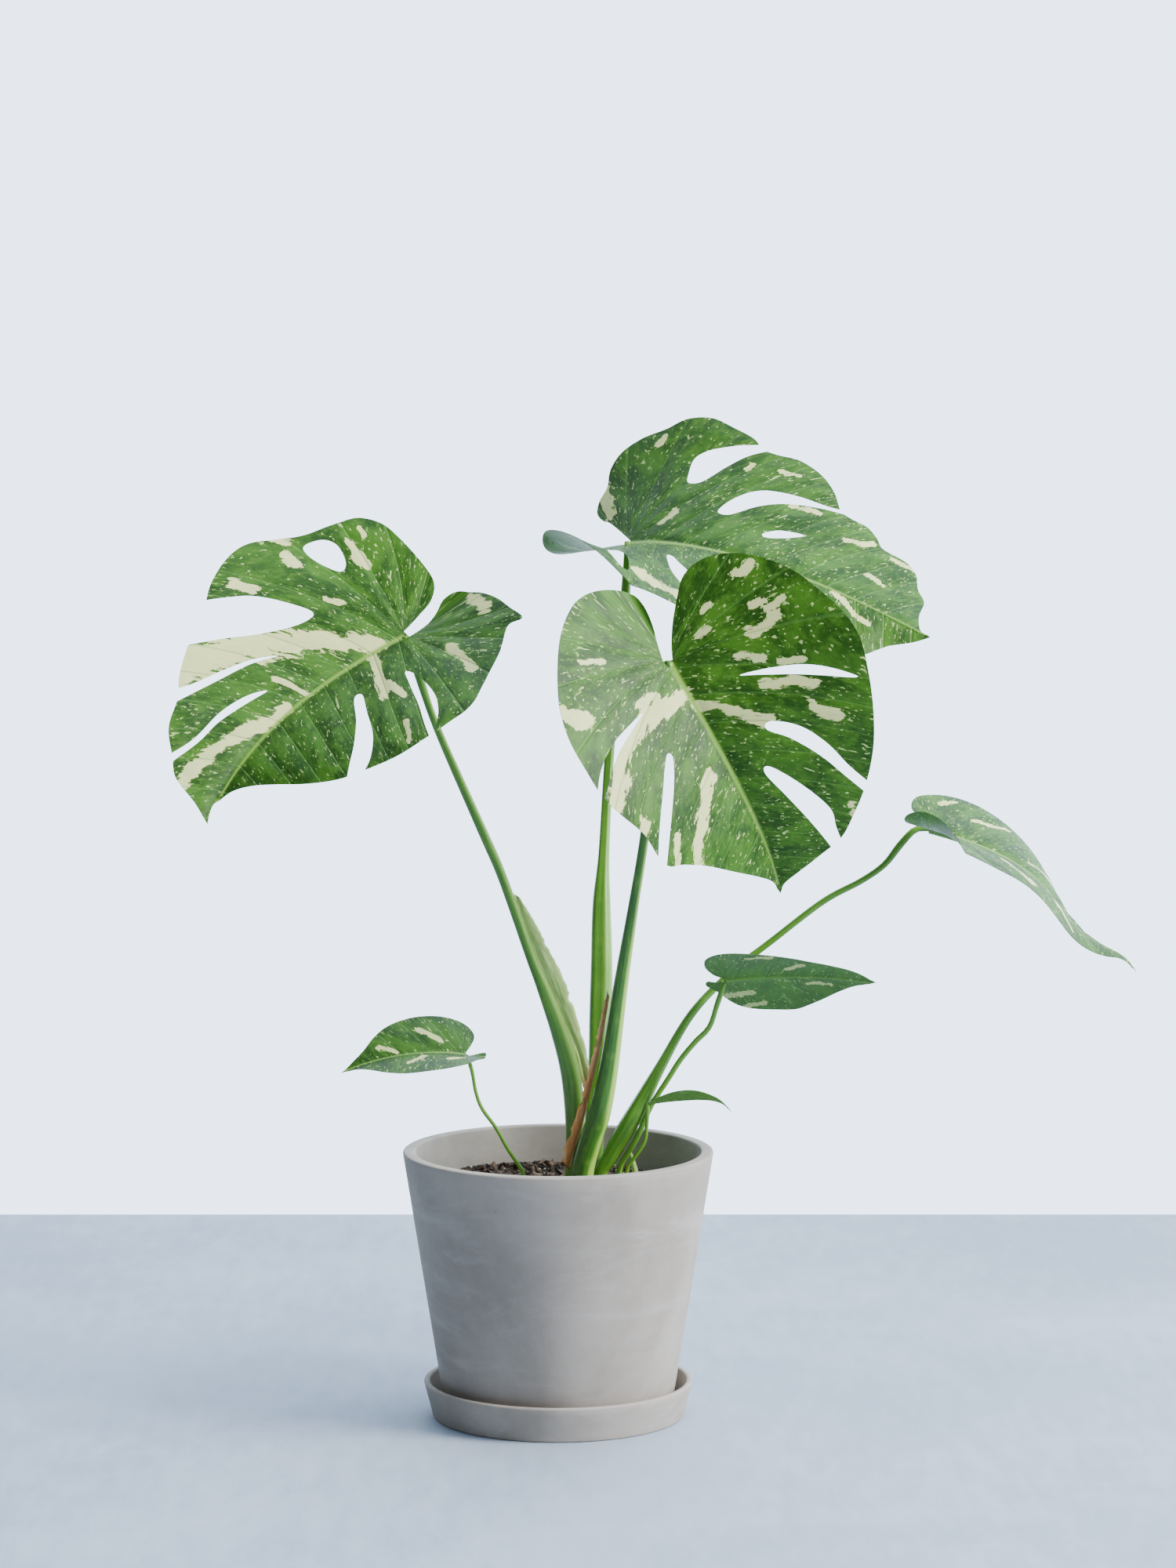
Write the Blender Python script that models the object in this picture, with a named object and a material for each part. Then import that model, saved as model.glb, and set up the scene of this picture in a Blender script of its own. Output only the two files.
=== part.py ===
"""Potted monstera with variegated leaves, in a tapered stone-look pot on its saucer.

Metres, +Z up. The origin is the centre of the saucer's underside. Seven leaves stand on seven
petioles that come out of the soil. The tables of leaves and petioles are in millimetres.
"""
import math

import bpy
import bmesh
import numpy as np
from mathutils import Vector
from mathutils.geometry import delaunay_2d_cdt

MM = 0.001
GAP = 0.0003                 # clearance between pieces that touch

SAUCER_RIM_RADIUS = 0.1085
SAUCER_BASE_RADIUS = 0.1020
SAUCER_HEIGHT = 0.0290
SAUCER_FLOOR = 0.0050
SAUCER_WALL = 0.0050

POT_TOP_RADIUS = 0.1250
POT_BASE_RADIUS = 0.0920
POT_HEIGHT = 0.2105
POT_WALL = 0.0100
POT_FLOOR = 0.0090
DRAIN_RADIUS = 0.0090
EDGE = 0.0018                # rounding of the pot's and the saucer's edges
TURN_STEPS = 48              # facets round the pot, the saucer and the soil

SOIL_TOP = 0.1800            # height of the soil surface above the floor
SOIL_RELIEF = 0.0022         # height of its crumbs

LEAF_THICKNESS = 0.0008
MARGIN_STEP = 9.0            # mm between points along a leaf's edge
BLADE_STEP = 17.0            # mm between points inside a leaf
STALK_SIDES = 10
STALK_STEP = 14.0            # mm between rings of a petiole
STALK_STOP = 4.0             # mm left free between a petiole's end and its leaf

# Each leaf lies on a curved sheet. "at" is where its petiole meets it, in mm. az, pitch and roll
# (degrees) aim its midrib: az 0 is +X and 90 is +Y, pitch is downwards, roll raises its left half.
# droop, side and twist bend, yaw and twist the midrib along its length (radians per metre, droop2
# per square metre); bends gives the bend as (mm, degrees) pairs instead. fold, curl and unfold
# shape the left and the right half. Outlines are (u, v) in mm: u along the midrib, v to the left.
# cuts are splits that run out through the edge, and holes stay closed.
LEAVES = {
    "leaf_left": dict(
        at=(-121, -30, 632), az=207, pitch=24, roll=-18, droop2=8.2, side=1.9, twist=-0.7,
        fold=(0.03, -0.6), curl=(-0.1, -0.5), back=-4.0,
        right=[(-2, -4), (-22, -10), (-38, -15), (-50, -26), (-54, -45), (-55, -72), (-52, -93),
               (-37, -108), (-12, -113), (16, -116), (34, -123), (54, -132), (72, -130),
               (92, -120), (108, -107), (134, -93), (154, -81), (168, -70), (188, -62),
               (204, -47), (216, -37), (226, -15), (237, 1)],
        left=[(-2, 4), (-20, 1), (-33, -3), (-46, -9), (-60, -6), (-69, 10), (-73, 30), (-72, 52),
              (-70, 74), (-58, 68), (-36, 88), (-16, 102), (8, 119), (28, 126), (52, 125),
              (78, 122), (104, 117), (128, 107), (152, 91), (166, 77), (178, 58), (186, 38),
              (194, 20), (205, 6), (218, -1), (228, -1), (237, 1)],
        cuts=[[(112, -118), (92, -105), (74, -92), (58, -72), (48, -54), (64, -53), (90, -64),
               (116, -81), (142, -99)],
              [(168, -80), (152, -69), (130, -60), (108, -51), (92, -41), (112, -49), (136, -56),
               (158, -64), (180, -74)],
              [(208, -52), (184, -41), (155, -38), (132, -32), (118, -24), (138, -28), (164, -34),
               (186, -37), (214, -48)],
              [(168, 94), (142, 83), (120, 72), (98, 56), (78, 34), (71, 36), (84, 55), (104, 80),
               (130, 96), (154, 100)],
              [(82, 130), (68, 110), (52, 87), (38, 60), (29, 43), (26, 58), (32, 85), (46, 106),
               (66, 122), (74, 130)]],
        holes=[[(22, -108), (8, -106), (1, -96), (3, -80), (10, -74), (17, -83), (23, -98)]]),
    "leaf_front": dict(
        at=(87, -90, 616), az=-27, pitch=56, roll=42, droop=3.1, droop2=7.1, side=1.2, twist=0.8,
        fold=(-0.44, -0.23), curl=(-0.35, -0.4), back=-0.6, size=0.99,
        right=[(-2, -5), (-14, -2), (-30, 3), (-48, 5), (-62, 1), (-71, -14), (-75, -34),
               (-72, -54), (-60, -73), (-42, -90), (-18, -106), (4, -117), (24, -122), (45, -121),
               (62, -119), (78, -112), (98, -101), (116, -98), (127, -93), (134, -79),
               (148, -59), (168, -38), (190, -17), (208, -4), (225, 0)],
        left=[(0, 3), (-10, 8), (-24, 17), (-40, 30), (-54, 44), (-58, 62), (-52, 82), (-36, 103),
              (-12, 120), (10, 129), (34, 137), (56, 139), (80, 132), (104, 122), (128, 109),
              (152, 91), (170, 74), (186, 58), (196, 38), (206, 19), (214, 6), (225, 0)],
        cuts=[[(160, 99), (136, 86), (112, 77), (92, 64), (79, 46), (83, 40), (98, 54), (120, 69),
               (142, 80), (164, 92)],
              [(198, 58), (176, 57), (160, 58), (138, 48), (116, 34), (108, 26), (114, 23),
               (136, 30), (166, 40), (204, 52)],
              [(63, -126), (48, -109), (37, -88), (30, -62), (27, -46), (33, -60), (43, -84),
               (56, -106), (68, -124)],
              [(124, -104), (104, -88), (84, -69), (65, -51), (61, -45), (66, -43), (82, -54),
               (104, -74), (132, -100)]],
        holes=[[(80, 123), (66, 108), (54, 90), (44, 66), (37, 42), (44, 55), (57, 80), (70, 103),
                (77, 115)]]),
    "leaf_top": dict(
        at=(57, 140, 699), az=-43, pitch=-4.5, roll=68, droop=5.2, droop2=-10, side=-1.6,
        twist=-2.2, fold=(0.47, -0.85), curl=(-0.5, -1.0), unfold=(0, 16), basal=(0, -12),
        back=1.7, size=1.025,
        right=[(0, -3), (-10, -6), (-22, -14), (-33, -28), (-37, -46), (-32, -64), (-19, -80),
               (0, -92), (22, -100), (46, -107), (70, -113), (98, -119), (122, -118),
               (140, -112), (158, -100), (178, -92), (196, -84), (214, -70), (224, -55),
               (236, -39), (247, -24), (262, -11), (272, 0)],
        left=[(0, 3), (-18, 14), (-36, 24), (-46, 27), (-57, 35), (-62, 48), (-61, 62), (-67, 80),
              (-64, 98), (-50, 114), (-32, 126), (-18, 139), (4, 145), (28, 141), (50, 136),
              (64, 128), (78, 128), (98, 132), (122, 127), (140, 115), (154, 98), (166, 95),
              (180, 95), (192, 88), (201, 79), (222, 79), (234, 71), (242, 54), (252, 42),
              (255, 20), (262, 3), (272, 0)],
        cuts=[[(72, 138), (53, 129), (34, 120), (18, 110), (11, 99), (14, 84), (20, 72), (32, 76),
               (44, 98), (56, 116), (76, 134)],
              [(164, 104), (144, 97), (115, 93), (84, 82), (68, 64), (63, 46), (74, 45), (90, 62),
               (110, 78), (134, 89), (166, 98)],
              [(158, -116), (130, -88), (102, -64), (76, -42), (63, -30), (57, -29), (67, -46),
               (80, -64), (97, -82), (118, -100), (142, -120)],
              [(206, -88), (182, -70), (156, -54), (130, -36), (142, -38), (168, -50),
               (194, -66), (216, -80)]],
        holes=[[(109, 36), (118, 46), (132, 51), (141, 51), (130, 41), (115, 33)],
               [(12, -32), (30, -48), (48, -72), (60, -96), (54, -98), (40, -84), (24, -60)]]),
    "leaf_right": dict(
        at=(299, 20, 474), az=4, pitch=16, roll=2, side=0.3,
        bends=[(0, 0), (60, 9), (100, 26), (130, 40), (155, 27), (185, 5), (197, 20), (214, 55)],
        fold=(-0.36, 0.02), curl=(0.8, 1.0), unfold=(14, 10), basal=(0, -20), fade=(0.02, 0.05),
        back=2.0,
        right=[(0, -2), (-8, -6), (-22, -16), (-26, -34), (-14, -54), (10, -68), (44, -74),
               (80, -72), (112, -63), (140, -46), (166, -26), (190, -10), (214, 0)],
        left=[(0, 2), (-6, 10), (-14, 28), (-11, 48), (2, 62), (24, 73), (52, 78), (84, 76),
              (114, 67), (142, 48), (167, 27), (190, 10), (214, 0)]),
    "leaf_small_right": dict(
        at=(134, -20, 357), az=-9, pitch=-8, roll=-29, droop=2.1, droop2=1.6, side=0.5,
        twist=-0.7, fold=(0.19, -0.09), curl=(2.0, 2.2),
        right=[(0, -1), (-8, -10), (-12, -26), (-9, -41), (0, -48), (12, -48), (26, -43),
               (40, -37), (55, -30), (70, -23), (86, -18), (100, -14), (110, -9), (121, 0)],
        left=[(0, 1), (-8, 3), (-15, 0), (-17, 6), (-10, 16), (-4, 28), (4, 38), (17, 44),
              (35, 46), (51, 45), (64, 38), (78, 28), (90, 18), (104, 8), (121, 0)]),
    "leaf_small_left": dict(
        at=(-73, -20, 296), az=206, pitch=-12, roll=-15.5, droop=5.2, droop2=1.6, side=0.3,
        twist=-1.1, fold=(-0.21, -0.41), curl=(3.7, 1.75),
        right=[(0, -3), (-6, -11), (-12, -22), (-11, -31), (-4, -38), (8, -41), (20, -41),
               (34, -39), (48, -35), (60, -30), (72, -22), (84, -12), (96, -5), (108, 1)],
        left=[(0, 2), (-10, -3), (-19, -6), (-14, 4), (-4, 14), (6, 25), (14, 32), (24, 37),
              (36, 40), (50, 40), (64, 37), (74, 31), (82, 23), (90, 12), (98, 4), (108, 1)]),
    "leaf_newest": dict(
        at=(72, -22, 257), az=-8, pitch=-22, roll=-28,
        bends=[(0, 0), (35, 18), (58, 42), (76, 82)], fold=(0.15, -0.1), curl=(4.0, 4.0),
        right=[(0, -1), (10, -5), (26, -9), (42, -9), (58, -5), (68, -2), (76, 0)],
        left=[(0, 1), (10, 5), (26, 9), (42, 9), (58, 5), (68, 2), (76, 0)]),
}

# Petioles, from the soil up to the leaf: (x, y, z, radius) in mm. The lower part of a large one is
# wrapped in its sheath, which makes it thicker.
PETIOLES = {
    "petiole_left": [(13, -3, 160, 8.5), (14, -3, 200, 8.5), (14, -4, 240, 8.5), (10, -6, 280, 8.3),
                     (1, -8, 314, 7.3), (-12, -10, 350, 5.6), (-22, -12, 375, 4.3),
                     (-44, -15, 438, 4.0), (-60, -18, 476, 4.0), (-95, -23, 557, 3.2),
                     (-111, -27, 604, 3.0), (-121, -30, 632, 2.9)],
    "petiole_front": [(20, -21, 160, 8.4), (20, -21, 200, 8.8), (27, -23, 229, 9.0),
                      (34, -26, 252, 8.8), (41, -30, 288, 7.6), (50, -39, 354, 5.9),
                      (60, -51, 420, 4.2), (68, -60, 472, 3.7), (77, -75, 544, 3.5),
                      (84, -85, 596, 3.4), (87, -90, 616, 3.2)],
    "petiole_top": [(27, 13, 160, 8.0), (28, 13, 205, 8.0), (30, 17, 243, 8.5), (33, 24, 281, 9.0),
                    (34, 32, 320, 9.2), (35, 41, 359, 9.0), (35, 54, 408, 7.5),
                    (37, 66, 450, 4.6), (42, 88, 535, 4.0), (49, 107, 596, 3.8),
                    (55, 127, 658, 3.4), (57, 140, 699, 3.1)],
    "petiole_right": [(29, -4, 160, 5.5), (34, -5, 198, 6.0), (40, -5, 208, 6.6),
                      (51, -4, 228, 7.8), (63, -2, 248, 7.5), (83, 0, 285, 4.5),
                      (108, 3, 327, 3.4), (140, 5, 360, 3.0), (171, 8, 384, 2.8),
                      (213, 11, 416, 2.7), (243, 13, 432, 2.6), (262, 15, 445, 2.6),
                      (275, 17, 461, 2.6), (287, 19, 473, 2.6), (299, 20, 474, 2.5)],
    "petiole_small_right": [(46, -7, 160, 2.4), (49, -7, 200, 2.5), (55, -8, 213, 2.5),
                            (63, -9, 227, 2.5), (73, -9, 250, 2.4), (79, -10, 261, 2.4),
                            (88, -11, 275, 2.4), (98, -12, 291, 2.4), (110, -14, 306, 2.4),
                            (121, -16, 318, 2.3), (127, -18, 336, 2.1), (133, -20, 355, 2.0)],
    "petiole_small_left": [(-24, 0, 160, 1.7), (-28, 0, 195, 1.7), (-33, -1, 205, 1.6),
                           (-41, -4, 218, 1.6), (-50, -7, 235, 1.6), (-61, -10, 251, 1.6),
                           (-66, -12, 265, 1.5), (-69, -16, 283, 1.5), (-73, -20, 296, 1.4)],
    "petiole_newest": [(56, -14, 160, 1.6), (55, -15, 200, 1.6), (61, -17, 212, 1.6),
                       (69, -19, 225, 1.6), (71, -21, 239, 1.5), (72, -22, 257, 1.4)],
}
SHOOT = [(61, -4, 160, 2.4), (62, -3, 196, 2.4), (60, -2, 207, 1.8), (58, -2, 215, 0.6)]

# Loose sheaths: the edge next to the petiole and the free edge, from top to bottom, in mm.
SHEATHS = {
    "sheath_wing_left": dict(
        inner=[(-33, -13, 424), (-25, -12, 400), (-17, -11, 379), (-9, -11, 359), (0, -9, 338),
               (10, -8, 314), (17, -7, 297), (21, -6, 279), (23, -5, 268)],
        outer=[(-30, -13, 422), (-18, -12, 402), (-7, -11, 381), (3, -10, 361), (11, -9, 340),
               (18, -8, 316), (23, -7, 298), (26, -6, 279), (27, -5, 269)]),
    "sheath_dried_front": dict(
        inner=[(41, -40, 346), (35, -37, 310), (28, -33, 277), (20, -29, 243), (13, -26, 220),
               (9, -25, 204)],
        outer=[(39, -41, 352), (30, -38, 312), (22, -34, 278), (12, -30, 244), (5, -27, 223),
               (2, -26, 210)]),
}
SHEATH_THICKNESS = 0.6       # mm

COLOURS = {
    "pot_stone": ((0.42, 0.40, 0.38), 0.85),
    "soil": ((0.05, 0.035, 0.025), 0.95),
    "leaf_variegated": ((0.07, 0.22, 0.04), 0.40),
    "petiole_green": ((0.10, 0.27, 0.04), 0.45),
    "sheath_pale": ((0.62, 0.62, 0.35), 0.60),
    "sheath_dried": ((0.30, 0.16, 0.06), 0.80),
}


def material(name):
    """The named finish, made once."""
    found = bpy.data.materials.get(name)
    if found:
        return found
    made = bpy.data.materials.new(name)
    made.use_nodes = True
    shader = made.node_tree.nodes["Principled BSDF"]
    colour, roughness = COLOURS[name]
    shader.inputs["Base Color"].default_value = (*colour, 1.0)
    shader.inputs["Roughness"].default_value = roughness
    shader.inputs["Metallic"].default_value = 0.0
    made.diffuse_color = (*colour, 1.0)
    return made


def add_object(name, mesh, finish=None):
    piece = bpy.data.objects.new(name, mesh)
    bpy.context.scene.collection.objects.link(piece)
    if finish:
        mesh.materials.append(material(finish))
    return piece


def smooth(points, step, closed=False):
    """Points at about equal steps along a smooth curve through the given points."""
    p = np.array(points, float)
    if closed:
        p = np.vstack([p[-1], p, p[0], p[1]])
    else:
        p = np.vstack([2 * p[0] - p[1], p, 2 * p[-1] - p[-2]])
    fine = []
    for a, b, c, d in zip(p[:-3], p[1:-2], p[2:-1], p[3:]):
        t = np.linspace(0, 1, 12, endpoint=False)[:, None]
        fine.append(0.5 * (2 * b + (c - a) * t + (2 * a - 5 * b + 4 * c - d) * t**2
                           + (3 * b - a - 3 * c + d) * t**3))
    fine.append(fine[0][:1] if closed else p[-2:-1])
    fine = np.vstack(fine)
    length = np.r_[0, np.cumsum(np.linalg.norm(np.diff(fine[:, :3], axis=0), axis=1))]
    count = max(3, round(length[-1] / step))
    at = np.linspace(0, length[-1], count + 1)
    even = np.stack([np.interp(at, length, fine[:, i]) for i in range(fine.shape[1])], -1)
    return even[:-1] if closed else even


class LeafSurface:
    """The curved sheet that a leaf lies on: takes (u, v) in metres to points in space."""

    def __init__(self, at, az, pitch, roll, droop=0.0, droop2=0.0, side=0.0, twist=0.0,
                 fold=(0.0, 0.0), curl=(0.0, 0.0), unfold=(0.0, 0.0), basal=(0.0, 0.0),
                 fade=(0.07, 0.09), back=0.0, bends=None, size=1.0, **_outline):
        az, pitch, roll = np.radians([az, pitch, roll])
        ahead = np.array([np.cos(az) * np.cos(pitch), np.sin(az) * np.cos(pitch), -np.sin(pitch)])
        left = np.array([-np.sin(az), np.cos(az), 0.0])
        left = left * np.cos(roll) + np.cross(ahead, left) * np.sin(roll)
        up = np.cross(ahead, left)
        self.u = np.linspace(-0.16, 0.40, 1121)
        w = np.maximum(self.u, 0)
        bend = droop * w + droop2 * w**2
        if bends:
            along, angle = np.array(bends).T
            bend = np.radians(np.interp(w / MM, along, angle))
        bend = np.where(self.u > 0, bend, back * self.u)[:, None]
        yaw = (side * w)[:, None]
        turn = (twist * self.u)[:, None]
        tangent = np.cos(bend) * (np.cos(yaw) * ahead + np.sin(yaw) * left) - np.sin(bend) * up
        steps = (tangent[1:] + tangent[:-1]) / 2 * (self.u[1] - self.u[0])
        midrib = np.vstack([np.zeros(3), np.cumsum(steps, axis=0)])
        self.midrib = midrib - midrib[np.argmin(abs(self.u))]
        across = np.cos(yaw) * left - np.sin(yaw) * ahead
        normal = np.cross(tangent, across)
        self.across = across * np.cos(turn) + normal * np.sin(turn)
        self.normal = np.cross(tangent, self.across)
        self.at, self.size = np.array(at) * MM, size
        self.fold, self.curl, self.unfold, self.basal, self.fade = fold, curl, unfold, basal, fade

    def __call__(self, u, v):
        u, v = np.asarray(u, float), np.asarray(v, float)
        midrib, across, normal = (
            np.stack([np.interp(u, self.u, a[:, i]) for i in range(3)], -1)
            for a in (self.midrib, self.across, self.normal))
        w, ahead = np.abs(v), np.maximum(u, 0)
        near = np.clip((self.fade[0] - u) / self.fade[1], 0, 1)
        start, rate = (
            np.where(v > 0, base[0] + more[0] * by, base[1] + more[1] * by)
            for base, more, by in ((self.fold, self.unfold, ahead**2),
                                   (self.curl, self.basal, near)))
        rate = np.where(abs(rate) < 1e-6, 1e-6, rate)
        out = (np.sin(start + rate * w) - np.sin(start)) / rate * np.sign(v)
        rise = (np.cos(start + rate * w) - np.cos(start)) / rate
        return self.at + self.size * (midrib + out[..., None] * across + rise[..., None] * normal)

    def normals(self, u, v, h=0.0008):
        n = np.cross(self(u + h, v) - self(u - h, v), self(u, v + h) - self(u, v - h))
        return n / np.linalg.norm(n, axis=-1, keepdims=True)


def inside(points, loop):
    """Which points lie inside a closed loop."""
    x, y = points[:, 0, None], points[:, 1, None]
    ax, ay = loop.T
    bx, by = np.roll(loop, -1, axis=0).T
    crosses = (ay > y) != (by > y)
    rise = np.where(by == ay, 1.0, by - ay)
    return (crosses & (x < (bx - ax) * (y - ay) / rise + ax)).sum(axis=1) % 2 == 1


def flat_leaf(leaf):
    """The leaf cut out flat: its points (mm) and its triangles."""
    right, left = smooth(leaf["right"], MARGIN_STEP), smooth(leaf["left"], MARGIN_STEP)
    margin = np.vstack([right, left[-2::-1]])
    splits = [smooth(cut, MARGIN_STEP * 0.8) for cut in leaf.get("cuts", [])]
    splits += [smooth(hole, MARGIN_STEP * 0.8, closed=True) for hole in leaf.get("holes", [])]
    loops = [margin] + splits
    edge = np.vstack(loops)
    low, high = margin.min(axis=0), margin.max(axis=0)
    grid = [(u + (row % 2) * BLADE_STEP / 2, v)
            for row, v in enumerate(np.arange(low[1], high[1], BLADE_STEP * 0.87))
            for u in np.arange(low[0], high[0], BLADE_STEP)]
    grid = np.array(grid)
    clear = np.linalg.norm(grid[:, None] - edge[None], axis=2).min(axis=1) > BLADE_STEP * 0.6
    keep = clear & inside(grid, margin)
    for split in splits:
        keep &= ~inside(grid, split)
    points, edges = [], []
    for loop in loops:
        first = len(points)
        points += [Vector(p) for p in loop]
        edges += [(first + i, first + (i + 1) % len(loop)) for i in range(len(loop))]
    points += [Vector(p) for p in grid[keep]]
    made = delaunay_2d_cdt(points, edges, [], 0, 1e-4)
    points, faces = np.array([tuple(p) for p in made[0]]), np.array(made[2])
    centre = points[faces].mean(axis=1)
    solid = inside(centre, margin)
    for split in splits:
        solid &= ~inside(centre, split)
    faces = faces[solid]
    used = np.unique(faces)
    return points[used], np.searchsorted(used, faces)


def thick_sheet(name, top, bottom, faces, finish):
    """A closed solid between two copies of a triangulated sheet."""
    count = len(top)
    sides = {(a, b) for f in faces for a, b in zip(f, np.roll(f, -1))}
    rim = [(a, b) for a, b in sides if (b, a) not in sides]
    solid = [tuple(f) for f in faces] + [tuple(count + i for i in f[::-1]) for f in faces]
    solid += [(b, a, count + a, count + b) for a, b in sorted(rim)]
    mesh = bpy.data.meshes.new(name)
    mesh.from_pydata([tuple(p) for p in np.vstack([top, bottom])], [],
                     [[int(i) for i in f] for f in solid])
    return add_object(name, mesh, finish)


def make_leaf(name, leaf):
    points, faces = flat_leaf(leaf)
    surface = LeafSurface(**leaf)
    u, v = points.T * MM
    centre, half = surface(u, v), surface.normals(u, v) * LEAF_THICKNESS / 2
    return thick_sheet(name, centre + half, centre - half, faces, "leaf_variegated")


def make_stalk(name, route, finish, extra=0.0, stop=0.0):
    """A round stalk along a smooth route of (x, y, z, radius) in mm."""
    path = smooth(route, STALK_STEP)
    centre, radius = path[:, :3], path[:, 3] + extra
    if stop:
        last = centre[-2] - centre[-1]
        centre[-1] += last * min(0.8, stop / np.linalg.norm(last))
    tangent = np.gradient(centre, axis=0)
    tangent /= np.linalg.norm(tangent, axis=1, keepdims=True)
    side = np.cross(tangent[0], (0.0, 1.0, 0.0))
    rings = []
    for c, t, r in zip(centre, tangent, radius):
        side = side - t * (side @ t)
        side /= np.linalg.norm(side)
        other = np.cross(t, side)
        angles = np.arange(STALK_SIDES) * 2 * math.pi / STALK_SIDES
        rings.append(c + r * (np.outer(np.cos(angles), side) + np.outer(np.sin(angles), other)))
    n = STALK_SIDES
    faces = [(k * n + i, k * n + (i + 1) % n, (k + 1) * n + (i + 1) % n, (k + 1) * n + i)
             for k in range(len(rings) - 1) for i in range(n)]
    faces.append(tuple(range(n - 1, -1, -1)))
    faces.append(tuple((len(rings) - 1) * n + i for i in range(n)))
    mesh = bpy.data.meshes.new(name)
    mesh.from_pydata([tuple(p) for p in np.vstack(rings) * MM], [], faces)
    mesh.shade_smooth()
    return add_object(name, mesh, finish)


def make_sheath(name, inner, outer, finish):
    """A thin loose strip between two edges."""
    a, b = smooth(inner, STALK_STEP), smooth(outer, STALK_STEP)
    rows = min(len(a), len(b))
    a, b = (e[np.round(np.linspace(0, len(e) - 1, rows)).astype(int)] for e in (a, b))
    across = b - a
    along = np.gradient((a + b) / 2, axis=0)
    normal = np.cross(along, across)
    normal /= np.linalg.norm(normal, axis=1, keepdims=True)
    columns = 3
    sheet = np.stack([a + across * c / (columns - 1) for c in range(columns)], axis=1)
    belly = 1.5 * np.array([0.0, 1.0, 0.0])[None, :, None]      # mm, the strip is cupped
    sheet = sheet + belly * normal[:, None]
    half = SHEATH_THICKNESS / 2 * np.repeat(normal, columns, axis=0)
    flat = sheet.reshape(-1, 3)
    faces = []
    for r in range(rows - 1):
        for c in range(columns - 1):
            i = r * columns + c
            faces += [(i, i + columns, i + columns + 1), (i, i + columns + 1, i + 1)]
    return thick_sheet(name, (flat + half) * MM, (flat - half) * MM, np.array(faces), finish)


def turned(name, profile, finish):
    """A solid turned round the Z axis from a closed (radius, height) profile."""
    mesh = bpy.data.meshes.new(name)
    bm = bmesh.new()
    verts = [bm.verts.new((r, 0.0, z)) for r, z in profile]
    ends_on_axis = profile[0][0] == 0.0
    pairs = list(zip(verts, verts[1:])) + ([] if ends_on_axis else [(verts[-1], verts[0])])
    edges = [bm.edges.new(pair) for pair in pairs]
    bmesh.ops.spin(bm, geom=verts + edges, axis=(0, 0, 1), cent=(0, 0, 0), angle=2 * math.pi,
                   steps=TURN_STEPS, use_merge=True)
    bmesh.ops.remove_doubles(bm, verts=bm.verts, dist=1e-6)
    bmesh.ops.recalc_face_normals(bm, faces=bm.faces)
    bm.to_mesh(mesh)
    bm.free()
    mesh.shade_smooth()
    mesh.set_sharp_from_angle(angle=math.radians(35))
    return add_object(name, mesh, finish)


def rim(outer, inner, top):
    """A rounded rim between an outer and an inner radius, going over the top."""
    width = EDGE * (1 - math.sqrt(0.5))
    return [(outer, top - EDGE), (outer - width, top - width), (outer - EDGE, top),
            (inner + EDGE, top), (inner + width, top - width), (inner, top - EDGE)]


def make_saucer():
    inner = SAUCER_RIM_RADIUS - SAUCER_WALL
    inner_base = SAUCER_BASE_RADIUS - SAUCER_WALL
    profile = [(0.0, 0.0), (SAUCER_BASE_RADIUS - EDGE, 0.0), (SAUCER_BASE_RADIUS, EDGE)]
    profile += rim(SAUCER_RIM_RADIUS, inner, SAUCER_HEIGHT)
    profile += [(inner_base, SAUCER_FLOOR + EDGE), (inner_base - EDGE, SAUCER_FLOOR),
                (0.0, SAUCER_FLOOR)]
    return turned("saucer", profile, "pot_stone")


def pot_inner_radius(z):
    """Inner radius of the pot at a height above the floor that it all stands on."""
    above = (z - POT_Z) / POT_HEIGHT
    return POT_BASE_RADIUS + (POT_TOP_RADIUS - POT_BASE_RADIUS) * above - POT_WALL


POT_Z = SAUCER_FLOOR + GAP
POT_TOP = POT_Z + POT_HEIGHT
SOIL_BOTTOM = POT_Z + POT_FLOOR + GAP


def make_pot():
    floor = POT_Z + POT_FLOOR
    corner = pot_inner_radius(floor)
    profile = [(DRAIN_RADIUS, POT_Z), (POT_BASE_RADIUS - EDGE, POT_Z),
               (POT_BASE_RADIUS, POT_Z + EDGE)]
    profile += rim(POT_TOP_RADIUS, POT_TOP_RADIUS - POT_WALL, POT_TOP)
    profile += [(corner, floor), (DRAIN_RADIUS, floor)]
    return turned("pot", profile, "pot_stone")


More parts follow.
